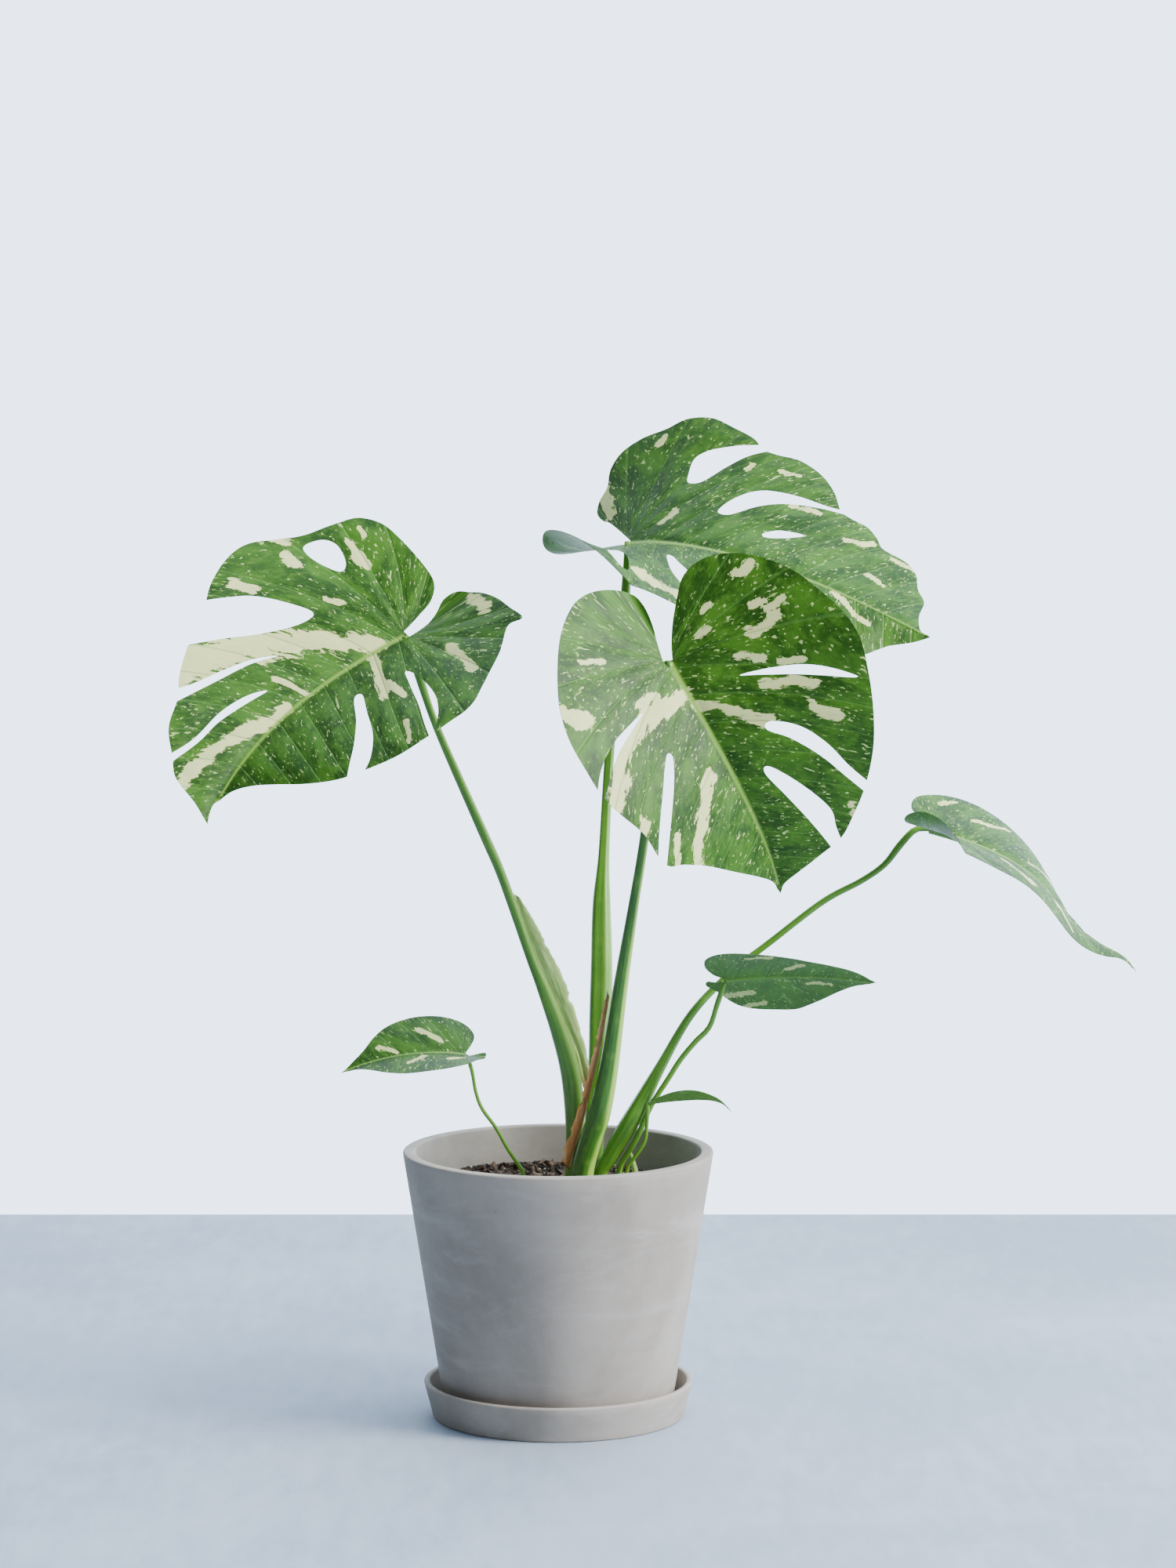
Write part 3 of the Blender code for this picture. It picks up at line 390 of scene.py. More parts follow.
def sheath_material(name, base, light, roughness, clear):
    n = Nodes(name)
    uv = n.uv("StalkUV")
    fibres = n.noise(n.scaled(uv, 26, 3), 1.0, 5, 0.7, 0.3)
    blotch = n.noise(n.scaled(uv, 5, 6), 1.0, 3, 0.6)
    colour = n.mix(n.ramp(fibres, 0.35, 0.65), base, light)
    low = n.attribute("tone")
    colour = n.mix(n.math("MULTIPLY", low, n.ramp(blotch, 0.2, 0.6)), colour, (0.30, 0.14, 0.035))
    n.put(n.shader.inputs["Base Color"], colour)
    n.shader.inputs["Roughness"].default_value = roughness
    n.put(n.shader.inputs["Normal"], n.bump(fibres, 0.5, 0.0008))
    glow = n.add("ShaderNodeBsdfTranslucent", Color=colour)
    both = n.add("ShaderNodeMixShader", i0=clear, i1=n.shader.outputs[0], i2=glow)
    n.put(n.output.inputs["Surface"], both)
    return n.material


def stone_material():
    n = Nodes("pot_stone")
    place = n.place()
    cloud = n.noise(place, 9.0, 6, 0.62, 0.6)
    smear = n.noise(n.scaled(place, 10, 10, 34), 1.0, 5, 0.65, 0.5)
    grain = n.noise(place, 620.0, 3, 0.7)
    colour = n.mix(n.ramp(cloud, 0.30, 0.72), (0.27, 0.230, 0.195), (0.37, 0.325, 0.28))
    colour = n.mix(n.math("MULTIPLY", n.ramp(smear, 0.48, 0.72), 0.35), colour, (0.46, 0.42, 0.385))
    colour = n.mix(n.math("MULTIPLY", n.ramp(grain, 0.52, 0.80), 0.35), colour, (0.24, 0.23, 0.22))
    pits = n.noise(place, 260.0, 2, 0.5)
    colour = n.mix(n.ramp(pits, 0.74, 0.78), colour, (0.22, 0.21, 0.20))
    n.put(n.shader.inputs["Base Color"], colour)
    n.put(n.shader.inputs["Roughness"], n.math("ADD", 0.72, n.math("MULTIPLY", cloud, 0.2)))
    n.shader.inputs["Specular IOR Level"].default_value = 0.3
    height = n.math("ADD", n.math("MULTIPLY", grain, 0.5), n.math("MULTIPLY", cloud, 0.8))
    n.put(n.shader.inputs["Normal"], n.bump(height, 0.30, 0.0006))
    return n.material


def crumb_material(name, dark, light, scale):
    n = Nodes(name)
    place = n.place()
    mottle = n.noise(place, scale, 5, 0.7, 0.4)
    n.put(n.shader.inputs["Base Color"], n.mix(n.ramp(mottle, 0.35, 0.68), dark, light))
    n.shader.inputs["Roughness"].default_value = 0.92
    n.put(n.shader.inputs["Normal"], n.bump(mottle, 0.6, 0.001))
    return n.material


def floor_material():
    n = Nodes("floor")
    place = n.place()
    cloud = n.noise(place, 2.2, 5, 0.6, 0.3)
    weave = n.noise(n.scaled(place, 60, 14), 1.0, 4, 0.6)
    both = n.math("ADD", n.math("MULTIPLY", cloud, 0.7), n.math("MULTIPLY", weave, 0.3))
    colour = n.mix(n.ramp(both, 0.35, 0.65), (0.26, 0.31, 0.39), (0.36, 0.41, 0.49))
    n.put(n.shader.inputs["Base Color"], colour)
    n.shader.inputs["Roughness"].default_value = 0.75
    return n.material


def finish_piece(piece, slot, *replaced):
    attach(piece, "root")
    if replaced:
        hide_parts(*replaced)
    return piece


def add_mesh(name, verts, faces, material, smooth_shading=True):
    mesh = bpy.data.meshes.new(name)
    mesh.from_pydata([tuple(map(float, v)) for v in verts], [],
                     [tuple(map(int, f)) for f in faces])
    mesh.materials.append(material)
    if smooth_shading:
        mesh.shade_smooth()
    piece = bpy.data.objects.new(name, mesh)
    bpy.context.scene.collection.objects.link(piece)
    return piece


def set_values(piece, name, values):
    layer = piece.data.attributes.new(name, "FLOAT", "POINT")
    layer.data.foreach_set("value", np.asarray(values, np.float32))


def set_uv(piece, name, uv):
    layer = piece.data.uv_layers.new(name=name)
    loops = np.zeros(len(piece.data.loops), np.int32)
    piece.data.loops.foreach_get("vertex_index", loops)
    layer.data.foreach_set("uv", np.asarray(uv, np.float32)[loops].ravel())


def smooth(points, step, closed=False):
    """Points at about equal steps along a smooth curve through the given points."""
    p = np.array(points, float)
    if closed:
        p = np.vstack([p[-1], p, p[0], p[1]])
    else:
        p = np.vstack([2 * p[0] - p[1], p, 2 * p[-1] - p[-2]])
    fine = []
    for a, b, c, d in zip(p[:-3], p[1:-2], p[2:-1], p[3:]):
        t = np.linspace(0, 1, 12, endpoint=False)[:, None]
        fine.append(0.5 * (2 * b + (c - a) * t + (2 * a - 5 * b + 4 * c - d) * t**2
                           + (3 * b - a - 3 * c + d) * t**3))
    fine.append(fine[0][:1] if closed else p[-2:-1])
    fine = np.vstack(fine)
    length = np.r_[0, np.cumsum(np.linalg.norm(np.diff(fine[:, :3], axis=0), axis=1))]
    count = max(3, round(length[-1] / step))
    at = np.linspace(0, length[-1], count + 1)
    even = np.stack([np.interp(at, length, fine[:, i]) for i in range(fine.shape[1])], -1)
    return even[:-1] if closed else even


class LeafSurface:
    """The curved sheet that a leaf lies on: takes (u, v) in metres to points in space."""

    def __init__(self, at, az, pitch, roll, droop=0.0, droop2=0.0, side=0.0, twist=0.0,
                 fold=(0.0, 0.0), curl=(0.0, 0.0), unfold=(0.0, 0.0), basal=(0.0, 0.0),
                 fade=(0.07, 0.09), back=0.0, bends=None, size=1.0, **_outline):
        az, pitch, roll = np.radians([az, pitch, roll])
        ahead = np.array([np.cos(az) * np.cos(pitch), np.sin(az) * np.cos(pitch), -np.sin(pitch)])
        left = np.array([-np.sin(az), np.cos(az), 0.0])
        left = left * np.cos(roll) + np.cross(ahead, left) * np.sin(roll)
        up = np.cross(ahead, left)
        self.u = np.linspace(-0.16, 0.40, 1121)
        w = np.maximum(self.u, 0)
        bend = droop * w + droop2 * w**2
        if bends:
            along, angle = np.array(bends).T
            bend = np.radians(np.interp(w / MM, along, angle))
        bend = np.where(self.u > 0, bend, back * self.u)[:, None]
        yaw = (side * w)[:, None]
        turn = (twist * self.u)[:, None]
        tangent = np.cos(bend) * (np.cos(yaw) * ahead + np.sin(yaw) * left) - np.sin(bend) * up
        steps = (tangent[1:] + tangent[:-1]) / 2 * (self.u[1] - self.u[0])
        midrib = np.vstack([np.zeros(3), np.cumsum(steps, axis=0)])
        self.midrib = midrib - midrib[np.argmin(abs(self.u))]
        across = np.cos(yaw) * left - np.sin(yaw) * ahead
        normal = np.cross(tangent, across)
        self.across = across * np.cos(turn) + normal * np.sin(turn)
        self.normal = np.cross(tangent, self.across)
        self.at, self.size = np.array(at) * MM, size
        self.fold, self.curl, self.unfold, self.basal, self.fade = fold, curl, unfold, basal, fade

    def __call__(self, u, v):
        u, v = np.asarray(u, float), np.asarray(v, float)
        midrib, across, normal = (
            np.stack([np.interp(u, self.u, a[:, i]) for i in range(3)], -1)
            for a in (self.midrib, self.across, self.normal))
        w, ahead = np.abs(v), np.maximum(u, 0)
        near = np.clip((self.fade[0] - u) / self.fade[1], 0, 1)
        start, rate = (
            np.where(v > 0, base[0] + more[0] * by, base[1] + more[1] * by)
            for base, more, by in ((self.fold, self.unfold, ahead**2),
                                   (self.curl, self.basal, near)))
        rate = np.where(abs(rate) < 1e-6, 1e-6, rate)
        out = (np.sin(start + rate * w) - np.sin(start)) / rate * np.sign(v)
        rise = (np.cos(start + rate * w) - np.cos(start)) / rate
        return self.at + self.size * (midrib + out[..., None] * across + rise[..., None] * normal)

    def normals(self, u, v, h=0.0008):
        n = np.cross(self(u + h, v) - self(u - h, v), self(u, v + h) - self(u, v - h))
        return n / np.linalg.norm(n, axis=-1, keepdims=True)


def inside(points, loop):
    """Which points lie inside a closed loop."""
    x, y = points[:, 0, None], points[:, 1, None]
    ax, ay = loop.T
    bx, by = np.roll(loop, -1, axis=0).T
    crosses = (ay > y) != (by > y)
    rise = np.where(by == ay, 1.0, by - ay)
    return (crosses & (x < (bx - ax) * (y - ay) / rise + ax)).sum(axis=1) % 2 == 1


# --- leaves ---------------------------------------------------------------------------------

VEIN_SPACING = 0.025        # between the side veins, along the midrib
VEIN_START = 0.006          # first side vein beyond the leaf's base
RIB_ROWS = (0.0, 1.1, 2.3, 3.8, 5.8)    # mm from the midrib, rows of points that shape it


def flat_leaf(leaf):
    """The leaf cut out flat: points and distances to its edge in mm, and triangles."""
    right, left = smooth(leaf["right"], MARGIN_STEP), smooth(leaf["left"], MARGIN_STEP)
    margin = np.vstack([right, left[-2::-1]])
    splits = [smooth(cut, MARGIN_STEP * 0.7) for cut in leaf.get("cuts", [])]
    splits += [smooth(hole, MARGIN_STEP * 0.7, closed=True) for hole in leaf.get("holes", [])]
    loops = [margin] + splits
    low, high = margin.min(axis=0), margin.max(axis=0)
    grid = [(u + (row % 2) * BLADE_STEP / 2, v)
            for row, v in enumerate(np.arange(low[1], high[1], BLADE_STEP * 0.87))
            for u in np.arange(low[0], high[0], BLADE_STEP)
            if abs(v) > RIB_ROWS[-1] + 1.2 or u < -2]
    grid += [(u, side * row) for row in RIB_ROWS for side in ((-1, 1) if row else (1,))
             for u in np.arange(0.0, high[0], BLADE_STEP)]
    grid = np.array(grid)
    edge = np.vstack(loops)
    tree = KDTree(len(edge))
    for i, point in enumerate(edge):
        tree.insert((*point, 0.0), i)
    tree.balance()
    away = np.array([tree.find((*point, 0.0))[2] for point in grid])
    keep = (away > min(BLADE_STEP, MARGIN_STEP) * 0.6) & inside(grid, margin)
    for split in splits:
        keep &= ~inside(grid, split)
    points, edges = [], []
    for loop in loops:
        first = len(points)
        points += [Vector(p) for p in loop]
        edges += [(first + i, first + (i + 1) % len(loop)) for i in range(len(loop))]
    points += [Vector(p) for p in grid[keep]]
    made = delaunay_2d_cdt(points, edges, [], 0, 1e-4)
    points, faces = np.array([tuple(p) for p in made[0]]), np.array(made[2])
    centre = points[faces].mean(axis=1)
    solid = inside(centre, margin)
    for split in splits:
        solid &= ~inside(centre, split)
    faces = faces[solid]
    used = np.unique(faces)
    points = points[used]
    away = np.array([tree.find((*point, 0.0))[2] for point in points])
    return points, away, np.searchsorted(used, faces)


def vein_phase(u, v):
    """How far along the midrib a point's side vein leaves it: whole numbers lie on side veins."""
    w = np.abs(v)
    slope = 0.45 + 1.2 * w
    behind = np.arctan2(w, u) - np.arctan2(1.0, slope)
    ahead = u - slope * w
    along = np.where(ahead >= 0, ahead, -0.066 * np.maximum(behind, 0))
    return (along - VEIN_START) / VEIN_SPACING


def patch_values(points, patches):
    """1 in the middle of a cream patch, 0.5 on its outline, 0 well outside."""
    value = np.zeros(len(points))
    stray = [[noise.noise(Vector((*(p * 0.045), layer))) for layer in (2.5, 9.5)] for p in points]
    points = points + 5.0 * np.array(stray)
    for u1, v1, u2, v2, half in patches:
        start, run = np.array([u1, v1]), np.array([u2 - u1, v2 - v1])
        share = np.clip((points - start) @ run / max(run @ run, 1.0), 0, 1)
        away = np.linalg.norm(points - start - share[:, None] * run, axis=1)
        value = np.maximum(value, np.clip(1 - away / (2 * half), 0, 1))
    return value


def build_leaf(index, name, leaf, material):
    points, away, faces = flat_leaf(leaf)
    surface = LeafSurface(**leaf)
    u, v = points.T * MM
    w, length = np.abs(v), points[:, 0].max() * MM
    phase = vein_phase(u, v)
    inner = np.clip(away / 14, 0, 1)
    tip = np.clip(u / length, 0, 1)
    small = min(1.0, length / 0.20)
    puff = 0.0011 * small * np.abs(np.sin(np.pi * phase))**0.7 * inner * np.clip(w / 0.02, 0, 1)
    waves = np.array([noise.noise(Vector((a * 22, b * 22, index * 7.3))) for a, b in zip(u, v)])
    waves = 0.0014 * small * waves * np.clip(1.2 - away / 22, 0, 1)
    on_rib = (u > -0.001) & (u < length - 0.004)
    valley = 0.0012 * small * np.exp(-(w / 0.0050)**2)
    ridge = 0.0012 * small * (1 - 0.7 * tip) * np.exp(-(w / 0.0017)**2)
    top_rise = puff + waves - np.where(on_rib, valley - ridge, 0)
    rib_half = 0.0030 * small * (1 - 0.75 * tip)
    keel = 0.0028 * small * (1 - 0.8 * tip) * np.exp(-(w / np.maximum(rib_half, 0.0008))**2)
    low_rise = puff + waves - np.where(on_rib, valley + keel, 0)
    normal = surface.normals(u, v)
    centre = surface(u, v)
    top = centre + normal * (top_rise + LEAF_THICKNESS / 2)[:, None]
    low = centre + normal * (low_rise - LEAF_THICKNESS / 2)[:, None]
    count = len(points)
    sides = {(a, b) for f in faces.tolist() for a, b in zip(f, f[1:] + f[:1])}
    rim = sorted((a, b) for a, b in sides if (b, a) not in sides)
    solid = [tuple(f) for f in faces] + [tuple(count + i for i in f[::-1]) for f in faces]
    solid += [(b, a, count + a, count + b) for a, b in rim]
    piece = add_mesh(name.replace("leaf", "blade"), np.vstack([top, low]), solid, material)
    piece.data.set_sharp_from_angle(angle=math.radians(50))
    uv = np.stack([phase + 40 * index, v / VEIN_SPACING + 17.3 * index], -1)
    set_uv(piece, "VeinUV", np.vstack([uv, uv]))
    midrib = np.where(on_rib, np.clip(1.5 - w / (0.0019 * small * (1.05 - 0.8 * tip)), 0, 1), 0)
    patch = patch_values(points, PATCHES.get(name, []))
    under = np.r_[np.zeros(count), np.ones(count)]
    set_values(piece, "patch", np.r_[patch, patch])
    set_values(piece, "midrib", np.r_[midrib, midrib])
    set_values(piece, "under", under)
    set_values(piece, "young", np.full(2 * count, YOUNG.get(name, 0.0)))
    return finish_piece(piece, "leaf", name)


# --- petioles, shoot and sheaths --------------------------------------------------------------

STALK_SIDES = 28
STALK_STEP = 5.0            # mm
PAINTED_HIGHLIGHT_SIDE = np.array([0.80, -0.55, 0.20])     # the side facing the window light, where each petiole gets a pale stripe of painted highlight

# How light each petiole's green is, and how strong its painted highlight, a pale stripe on its lit side
PETIOLE_TONES = {
    "petiole_left": (0.40, 0.35), "petiole_front": (0.05, 0.95), "petiole_top": (0.62, 0.20),
    "petiole_right": (0.50, 0.50), "petiole_small_right": (0.60, 0.45),
    "petiole_small_left": (0.95, 0.10), "petiole_newest": (1.00, 0.15),
}


def build_stalk(name, node, route, material, slot, tone, painted_highlight, shape):
    """A stalk of rings; shape(share, angle) gives its radius as a share of the route's."""
    path = smooth(route, STALK_STEP)
    centre, radius = path[:, :3], path[:, 3]
    tangent = np.gradient(centre, axis=0)
    tangent /= np.linalg.norm(tangent, axis=1, keepdims=True)
    steps = np.linalg.norm(np.diff(centre, axis=0), axis=1)
    along = np.r_[0, np.cumsum(steps)]
    angle = np.arange(STALK_SIDES) * 2 * math.pi / STALK_SIDES - math.pi
    up = np.array([0.0, 0.0, 1.0])
    verts, uv, light = [], [], []
    inward = (centre[0] - centre[-1]) * (1.0, 1.0, 0.0)
    inward /= np.linalg.norm(inward)
    for c, t, r, length in zip(centre, tangent, radius, along):
        lean = up - t * (up @ t)
        inward = inward + 0.04 * lean
        inward = inward - t * (inward @ t)
        inward /= np.linalg.norm(inward)
        other = np.cross(t, inward)
        out = np.outer(np.cos(angle), inward) + np.outer(np.sin(angle), other)
        size = shape(length / along[-1], angle)
        verts.append(c + out * (r * size)[:, None])
        uv.append(np.stack([np.abs(angle) / math.pi, np.full(STALK_SIDES, length / 100)], -1))
        # painted highlight: a pale stripe on the side of the stalk that faces the window light
        light.append(painted_highlight * np.clip((out @ PAINTED_HIGHLIGHT_SIDE - 0.80) / 0.06, 0, 1))
    n = STALK_SIDES
    faces = [(k * n + i, k * n + (i + 1) % n, (k + 1) * n + (i + 1) % n, (k + 1) * n + i)
             for k in range(len(verts) - 1) for i in range(n)]
    faces.append(tuple(range(n - 1, -1, -1)))
    faces.append(tuple((len(verts) - 1) * n + i for i in range(n)))
    piece = add_mesh(name, np.vstack(verts) * MM, faces, material)
    set_uv(piece, "StalkUV", np.vstack(uv) + (0.0, 3.7 * route[0][0]))
    set_values(piece, "tone", np.full(len(verts) * n, tone))
    set_values(piece, "painted_highlight", np.concatenate(light))
    return finish_piece(piece, slot, node)


def petiole_shape(share, angle):
    """Channelled along its upper side, with a swollen joint below the leaf and fine ribs."""
    channel = 0.20 * np.exp(-(angle / 0.42)**2) * (1 - share)**0.5
    flanks = 0.05 * np.exp(-((np.abs(angle) - 0.62) / 0.25)**2)
    joint = 0.16 * math.exp(-((share - 0.93) / 0.035)**2)
    ribs = 0.012 * np.cos(11 * angle)
    return 0.98 - channel + flanks + joint + ribs


def shoot_shape(share, angle):
    """A furled leaf: one edge wrapped over the other, drawn out to a point."""
    wrap = 0.16 * ((angle + 0.9 + 1.4 * share) % (2 * math.pi)) / (2 * math.pi)
    return 0.90 + wrap + 0.02 * np.cos(9 * angle)


def build_sheath(name, node, inner, outer, material, slot, belly, ragged, brown_below,
                 start=0.0, columns=13):
    """A thin loose strip between two edges, cupped, with a torn outer edge."""
    step = 3.0
    a, b = smooth(inner, step), smooth(outer, step)
    rows = min(len(a), len(b))
    a, b = (e[np.round(np.linspace(0, len(e) - 1, rows)).astype(int)] for e in (a, b))
    across = b - a
    along = np.gradient((a + b) / 2, axis=0)
    normal = np.cross(along, across)
    normal /= np.linalg.norm(normal, axis=1, keepdims=True)
    share = np.linspace(start, 1, columns)
    torn = np.array([noise.noise(Vector((k * 0.31, 5.1, 0.0))) for k in range(rows)])
    reach = 1 - ragged * np.abs(torn)[:, None] * np.abs(share)**4
    cup = belly * np.sin(np.pi * np.abs(share)) + 0.35 * np.sin(9 * share + 0.25 * torn[:, None] * 20)
    sheet = a[:, None] + across[:, None] * (share * reach)[..., None]
    sheet = sheet + normal[:, None] * np.broadcast_to(cup, (rows, columns))[..., None]
    half = 0.22 * np.repeat(normal, columns, axis=0)
    flat = sheet.reshape(-1, 3)
    count = len(flat)
    quads = [(r * columns + c, (r + 1) * columns + c, (r + 1) * columns + c + 1,
              r * columns + c + 1) for r in range(rows - 1) for c in range(columns - 1)]
    sides = {(p, q) for f in quads for p, q in zip(f, f[1:] + f[:1])}
    rim = sorted((p, q) for p, q in sides if (q, p) not in sides)
    solid = quads + [tuple(count + i for i in f[::-1]) for f in quads]
    solid += [(q, p, count + p, count + q) for p, q in rim]
    piece = add_mesh(name, np.vstack([flat + half, flat - half]) * MM, solid, material)
    uv = np.stack(np.meshgrid(share, np.arange(rows) * step / 100), -1).reshape(-1, 2)
    low = np.clip((brown_below - flat[:, 2]) / 25, 0, 1)
    set_uv(piece, "StalkUV", np.vstack([uv, uv]))
    set_values(piece, "tone", np.r_[low, low])
    return finish_piece(piece, slot, node)


# --- pot and saucer ---------------------------------------------------------------------------

def turned(name, profile, material):
    """A solid turned round the Z axis from a closed (radius, height) profile."""
    closed = profile[0][0] != 0.0
    angles = np.arange(TURN_STEPS) * 2 * math.pi / TURN_STEPS
    verts, rows = [], []
    for radius, height in profile:
        rows.append(len(verts))
        if radius == 0.0:
            verts.append((0.0, 0.0, height))
        else:
            verts += [(radius * math.cos(a), radius * math.sin(a), height) for a in angles]
    pairs = list(zip(range(len(profile)), range(1, len(profile))))
    pairs += [(len(profile) - 1, 0)] if closed else []
    faces = []
    for p, q in pairs:
        for i in range(TURN_STEPS):
            j = (i + 1) % TURN_STEPS
            low = [rows[p] + i, rows[p] + j] if profile[p][0] else [rows[p]]
            high = [rows[q] + j, rows[q] + i] if profile[q][0] else [rows[q]]
            faces.append(tuple(low + high))
    piece = add_mesh(name, verts, faces, material)
    piece.data.set_sharp_from_angle(angle=math.radians(40))
    return piece


def arc(centre, radius, start, end, steps=5):
    """Points on an arc in a (radius, height) profile, angles in degrees."""
    return [(centre[0] + radius * math.cos(math.radians(a)),
             centre[1] + radius * math.sin(math.radians(a)))
            for a in np.linspace(start, end, steps)]


def wall(start, end, steps):
    """Points along a straight wall, without its ends."""
    return [(start[0] + (end[0] - start[0]) * k / steps, start[1] + (end[1] - start[1]) * k / steps)
            for k in range(1, steps)]


def build_saucer(material):
    low, high = SAUCER_LOW[2], SAUCER_HIGH[2]
    inner, inner_base = SAUCER_RIM_RADIUS - SAUCER_WALL, SAUCER_BASE_RADIUS - SAUCER_WALL
    base = SAUCER_BASE_RADIUS
    profile = [(0.0, low), (base - 0.02, low)] + arc((base - EDGE, low + EDGE), EDGE, -90, 0)
    profile += wall((base, low + EDGE), (SAUCER_RIM_RADIUS, high - EDGE), 5)
    profile += arc((SAUCER_RIM_RADIUS - EDGE, high - EDGE), EDGE, 0, 90)
    profile += arc((inner + EDGE, high - EDGE), EDGE, 90, 180)
    profile += wall((inner, high - EDGE), (inner_base, SAUCER_FLOOR + 2 * EDGE), 5)
    corner = (inner_base - 2 * EDGE, SAUCER_FLOOR + 2 * EDGE)
    profile += arc(corner, 2 * EDGE, 0, -90) + [(0.0, SAUCER_FLOOR)]
    return finish_piece(turned("saucer_dish", profile, material), "stone", "saucer")


def build_pot(material):
    low, high = POT_LOW[2], POT_HIGH[2]
    inner, floor = POT_TOP_RADIUS - POT_WALL, low + POT_FLOOR
    slope = (POT_TOP_RADIUS - POT_BASE_RADIUS) / (high - low)
    corner = POT_BASE_RADIUS - POT_WALL + slope * POT_FLOOR
    profile = [(DRAIN_RADIUS, low), (POT_BASE_RADIUS - 0.02, low)]
    profile += arc((POT_BASE_RADIUS - EDGE, low + EDGE), EDGE, -90, 0)
    profile += wall((POT_BASE_RADIUS, low + EDGE), (POT_TOP_RADIUS, high - EDGE), 16)
    profile += arc((POT_TOP_RADIUS - EDGE, high - EDGE), EDGE, 0, 90)
    profile += arc((inner + EDGE, high - EDGE), EDGE, 90, 180)
    profile += wall((inner, high - EDGE), (corner, floor), 10)
    profile += [(corner, floor), (DRAIN_RADIUS, floor)]
    return finish_piece(turned("pot_body", profile, material), "stone", "pot")


# --- soil ---------------------------------------------------------------------------------------

def pot_inner(height):
    """Radius of the room inside the pot at a height."""
    above = (height - POT_LOW[2]) / (POT_HIGH[2] - POT_LOW[2])
    return POT_BASE_RADIUS + (POT_TOP_RADIUS - POT_BASE_RADIUS) * above - POT_WALL - GAP


SOIL_RADIUS = pot_inner(SOIL_TOP)


def soil_height(x, y):
    """The mounded, crumbly top of the soil."""
    radius, angle = math.hypot(x, y), math.atan2(y, x)
    mound = SOIL_TOP + SOIL_TILT * (radius / SOIL_RADIUS)**2 * math.sin(angle - 0.4)
    coarse = noise.noise(Vector((x * 70, y * 70, 1.5))) * SOIL_COARSE
    fine = noise.noise(Vector((x * 260, y * 260, 4.0))) * SOIL_FINE
    return mound + coarse + fine - SOIL_SETTLED


def build_soil(material):
    rings, spokes = ((56, 200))
    verts, faces = [(0.0, 0.0, soil_height(0, 0))], []
    for k in range(1, rings + 1):
        radius = (SOIL_RADIUS - 0.0008) * k / rings
        for i in range(spokes):
            x = radius * math.cos(2 * math.pi * i / spokes)
            y = radius * math.sin(2 * math.pi * i / spokes)
            verts.append((x, y, soil_height(x, y)))
    base = pot_inner(SOIL_BOTTOM)
    for i in range(spokes):
        angle = 2 * math.pi * i / spokes
        verts.append((base * math.cos(angle), base * math.sin(angle), SOIL_BOTTOM))
    verts.append((0.0, 0.0, SOIL_BOTTOM))
    for i in range(spokes):
        j = (i + 1) % spokes
        faces.append((0, 1 + i, 1 + j))
        for k in range(rings):
            a, b = 1 + k * spokes, 1 + (k + 1) * spokes
            faces.append((a + i, b + i, b + j, a + j))
        last = 1 + rings * spokes
        faces.append((last + j, last + i, len(verts) - 1))
    return finish_piece(add_mesh("soil_bed", verts, faces, material), "soil", "soil")


def lump_shapes(rng, count, points, flatness):
    """A few irregular closed lumps about 1 across: lists of points and triangles."""
    shapes = []
    for _ in range(count):
        bm = bmesh.new()
        cloud = rng.normal(size=(points, 3))
        cloud = cloud / np.linalg.norm(cloud, axis=1, keepdims=True)
        cloud = cloud * rng.uniform(0.35, 0.5, (points, 1))
        for p in cloud * flatness:
            bm.verts.new(p)
        hull = bmesh.ops.convex_hull(bm, input=bm.verts)
        loose = [v for v in hull["geom_interior"] + hull["geom_unused"]
                 if isinstance(v, bmesh.types.BMVert)]
        bmesh.ops.delete(bm, geom=list(set(loose)), context="VERTS")
        bmesh.ops.recalc_face_normals(bm, faces=bm.faces)
        bm.verts.index_update()
        shapes.append((np.array([v.co[:] for v in bm.verts]),
                       [tuple(v.index for v in f.verts) for f in bm.faces]))
        bm.free()
    return shapes


def scatter(name, rng, count, sizes, shapes, material, inner=0.0, lift=0.3, tilt=0.5):
    """Lumps strewn on the soil, clear of the pot and joined as one piece."""
    verts, faces, total = [], [], 0
    for _ in range(count):
        size = rng.uniform(*sizes)
        reach = SOIL_RADIUS - 0.0012 - size / 2
        radius = reach * math.sqrt(rng.uniform((inner / reach)**2, 1))
        angle = rng.uniform(0, 2 * math.pi)
        x, y = radius * math.cos(angle), radius * math.sin(angle)
        turn = Euler((rng.normal(0, tilt), rng.normal(0, tilt), rng.uniform(0, 6.3))).to_matrix()
        points, shape_faces = shapes[rng.integers(len(shapes))]
        moved = points @ np.array(turn).T * size + (x, y, soil_height(x, y) + size * lift * 0.4)
        verts.append(moved)
        faces += [tuple(total + i for i in f) for f in shape_faces]
        total += len(points)
    return finish_piece(add_mesh(name, np.vstack(verts), faces, material, False), "soil")


def build_soil_cover(dark, bark, pale):
    rng = np.random.default_rng(11)
    chips = lump_shapes(rng, 12, 14, (1.0, 0.55, 0.30))
    grains = lump_shapes(rng, 10, 12, (1.0, 0.8, 0.7))
    scatter("soil_crumbs", rng, 2600, (0.0015, 0.0050), grains, dark, tilt=1.5)
    scatter("bark_chips", rng, 420, (0.006, 0.019), chips, bark, inner=0.01)
    scatter("bark_bits", rng, 900, (0.003, 0.008), chips, bark, tilt=0.9)
    scatter("grit", rng, 260, (0.0018, 0.0045), grains, pale, inner=0.03, lift=0.8)


# --- surroundings -------------------------------------------------------------------------------

FLOOR_FAR = 0.84            # where the floor meets the backdrop
FLOOR_NEAR = -5.0
FLOOR_SIDE = 3.5
CAMERA_PLACE = (0.024, -3.600, 0.861)
CAMERA_DOWN = 0.0967        # radians below the horizon
CAMERA_LENS = 103.9
SKY_TOWARDS = (0.74, 0.66, 0.12)        # the bright side of the sky
SKY_DIM = 0.28
SKY_BRIGHT = 4.6


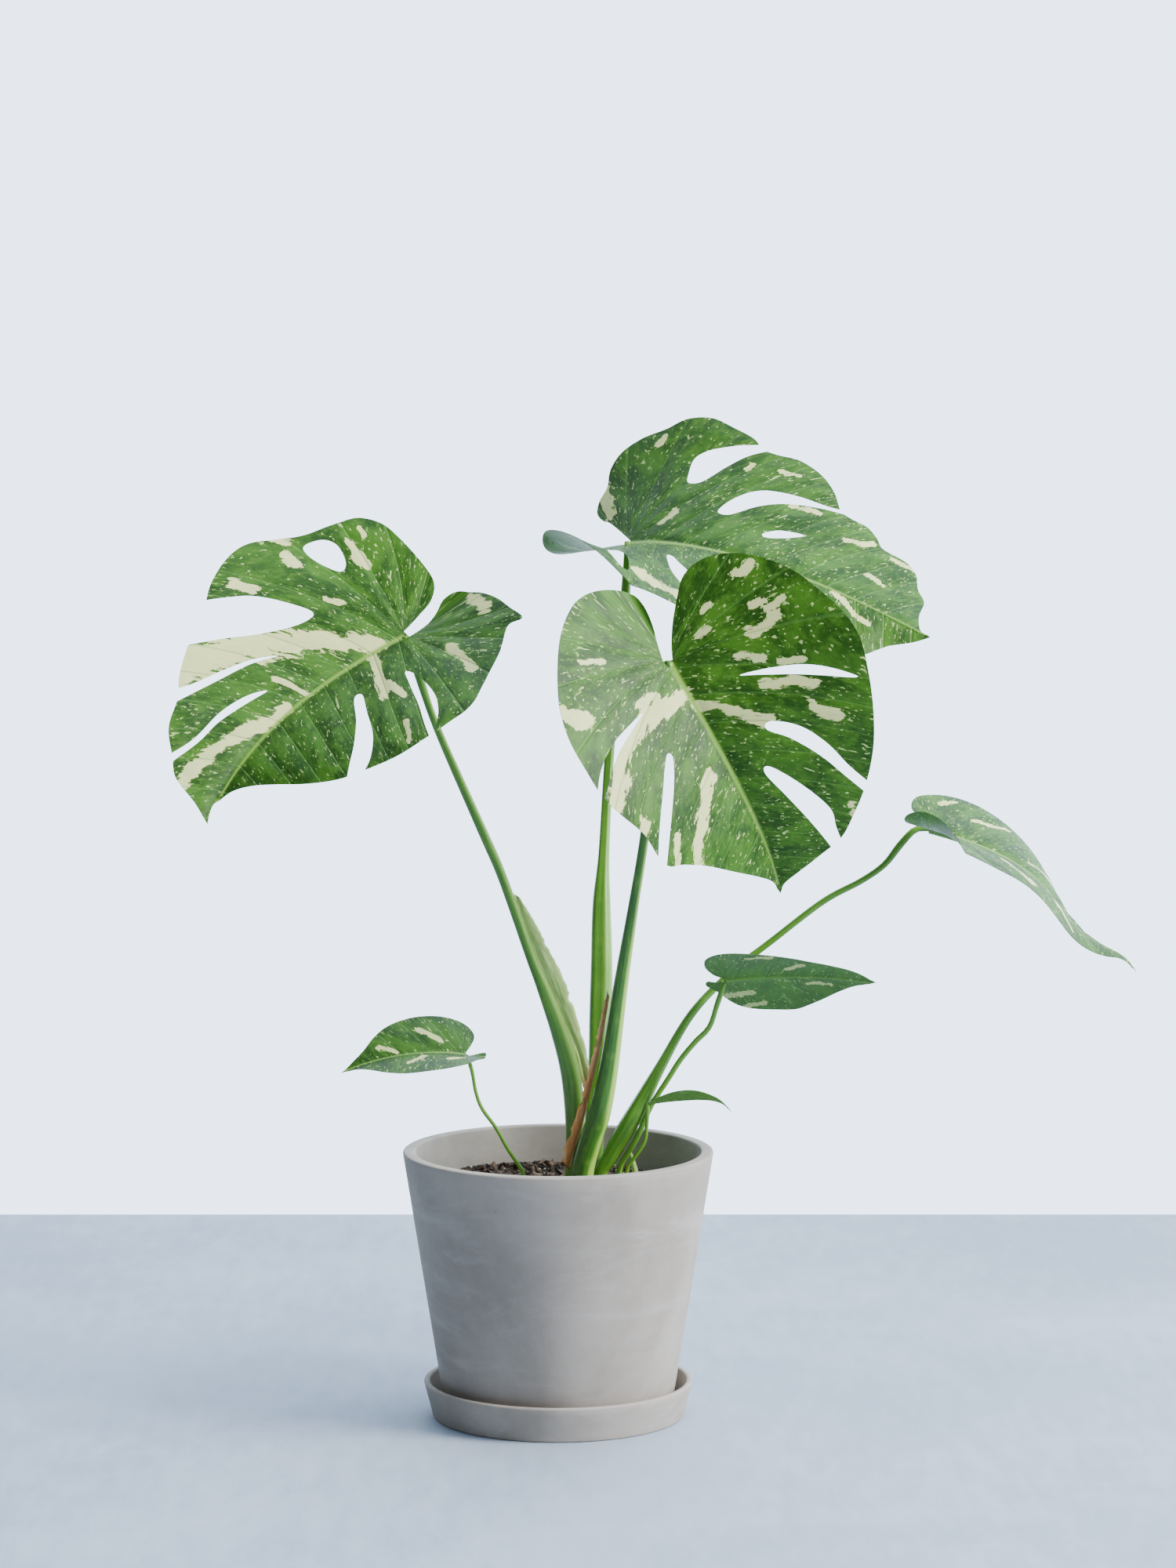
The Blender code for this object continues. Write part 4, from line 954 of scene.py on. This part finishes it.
def build_floor(material):
    corners = [(-FLOOR_SIDE, FLOOR_NEAR, 0.0), (FLOOR_SIDE, FLOOR_NEAR, 0.0),
               (FLOOR_SIDE, FLOOR_FAR, 0.0), (-FLOOR_SIDE, FLOOR_FAR, 0.0)]
    floor = add_mesh("floor", corners, [(0, 1, 2, 3)], material, False)


def add_light(name, place, aim, size, power, colour):
    data = bpy.data.lights.new(name, "AREA")
    data.shape = "DISK"
    data.size = size
    data.energy = power
    data.color = colour
    light = bpy.data.objects.new(name, data)
    light.location = place
    light.rotation_euler = (Vector(aim) - Vector(place)).to_track_quat("-Z", "Y").to_euler()
    bpy.context.scene.collection.objects.link(light)


def add_camera():
    data = bpy.data.cameras.new("camera")
    data.lens = CAMERA_LENS
    data.sensor_width = 36.0
    data.sensor_height = 36.0
    data.sensor_fit = "AUTO"
    camera = bpy.data.objects.new("camera", data)
    camera.location = CAMERA_PLACE
    camera.rotation_euler = (math.pi / 2 - CAMERA_DOWN, 0.0, 0.0)
    bpy.context.scene.collection.objects.link(camera)
    bpy.context.scene.camera = camera


def set_world():
    """A soft pale sky, bright behind and to the right, dim in front and to the left."""
    world = bpy.data.worlds.new("backdrop")
    world.use_nodes = True
    tree = world.node_tree
    sky = tree.nodes["Background"]
    sky.inputs["Color"].default_value = (0.67, 0.82, 1.0, 1.0)
    direction = tree.nodes.new("ShaderNodeTexCoord").outputs["Generated"]
    turn = tree.nodes.new("ShaderNodeVectorMath")
    turn.operation = "DOT_PRODUCT"
    tree.links.new(direction, turn.inputs[0])
    turn.inputs[1].default_value = SKY_TOWARDS
    glow = tree.nodes.new("ShaderNodeMapRange")
    glow.interpolation_type = "SMOOTHSTEP"
    tree.links.new(turn.outputs["Value"], glow.inputs["Value"])
    glow.inputs["From Min"].default_value = -0.35
    glow.inputs["From Max"].default_value = 0.50
    glow.inputs["To Min"].default_value = SKY_DIM
    glow.inputs["To Max"].default_value = SKY_BRIGHT
    tree.links.new(glow.outputs["Result"], sky.inputs["Strength"])
    bpy.context.scene.world = world


def main():
    add_camera()
    set_world()
    middle = (0.0, 0.0, 0.40)
    add_light("window", (2.6, -0.9, 2.1), middle, 1.5, 230, (1.0, 0.98, 0.94))
    add_light("fill", (-1.8, -2.6, 1.6), middle, 2.4, 5, (0.92, 0.96, 1.0))
    build_floor(floor_material())

    stone = stone_material()
    build_saucer(stone)
    build_pot(stone)
    earth = crumb_material("soil", (0.012, 0.008, 0.005), (0.045, 0.030, 0.020), 260)
    bark = crumb_material("bark", (0.035, 0.020, 0.012), (0.16, 0.095, 0.055), 170)
    grit = crumb_material("grit", (0.38, 0.36, 0.32), (0.72, 0.70, 0.66), 400)
    build_soil(earth)
    build_soil_cover(earth, bark, grit)

    leaf_finish = leaf_material()
    for index, (name, leaf) in enumerate(LEAVES.items()):
        build_leaf(index, name, leaf, leaf_finish)
    petiole_finish = petiole_material()
    for name, route in PETIOLES.items():
        tone, painted_highlight = PETIOLE_TONES[name]
        build_stalk(name.replace("petiole", "stalk"), name, route, petiole_finish, "petiole",
                    tone, painted_highlight, petiole_shape)
    pale = sheath_material("sheath_pale", (0.22, 0.42, 0.05), (0.66, 0.76, 0.30), 0.42, 0.22)
    dried = sheath_material("sheath_dried", (0.20, 0.10, 0.035), (0.50, 0.31, 0.13), 0.65, 0.15)
    build_stalk("shoot_tip", "new_shoot", SHOOT, pale, "sheath_pale", 0.0, 0.0, shoot_shape)
    build_sheath("wing_left", "sheath_wing_left", **SHEATHS["sheath_wing_left"],
                 material=pale, slot="sheath_pale", belly=1.6, ragged=0.35, brown_below=292, start=-0.7)
    build_sheath("dried_front", "sheath_dried_front", **SHEATHS["sheath_dried_front"],
                 material=dried, slot="sheath_dried", belly=2.2, ragged=0.8, brown_below=300)


main()
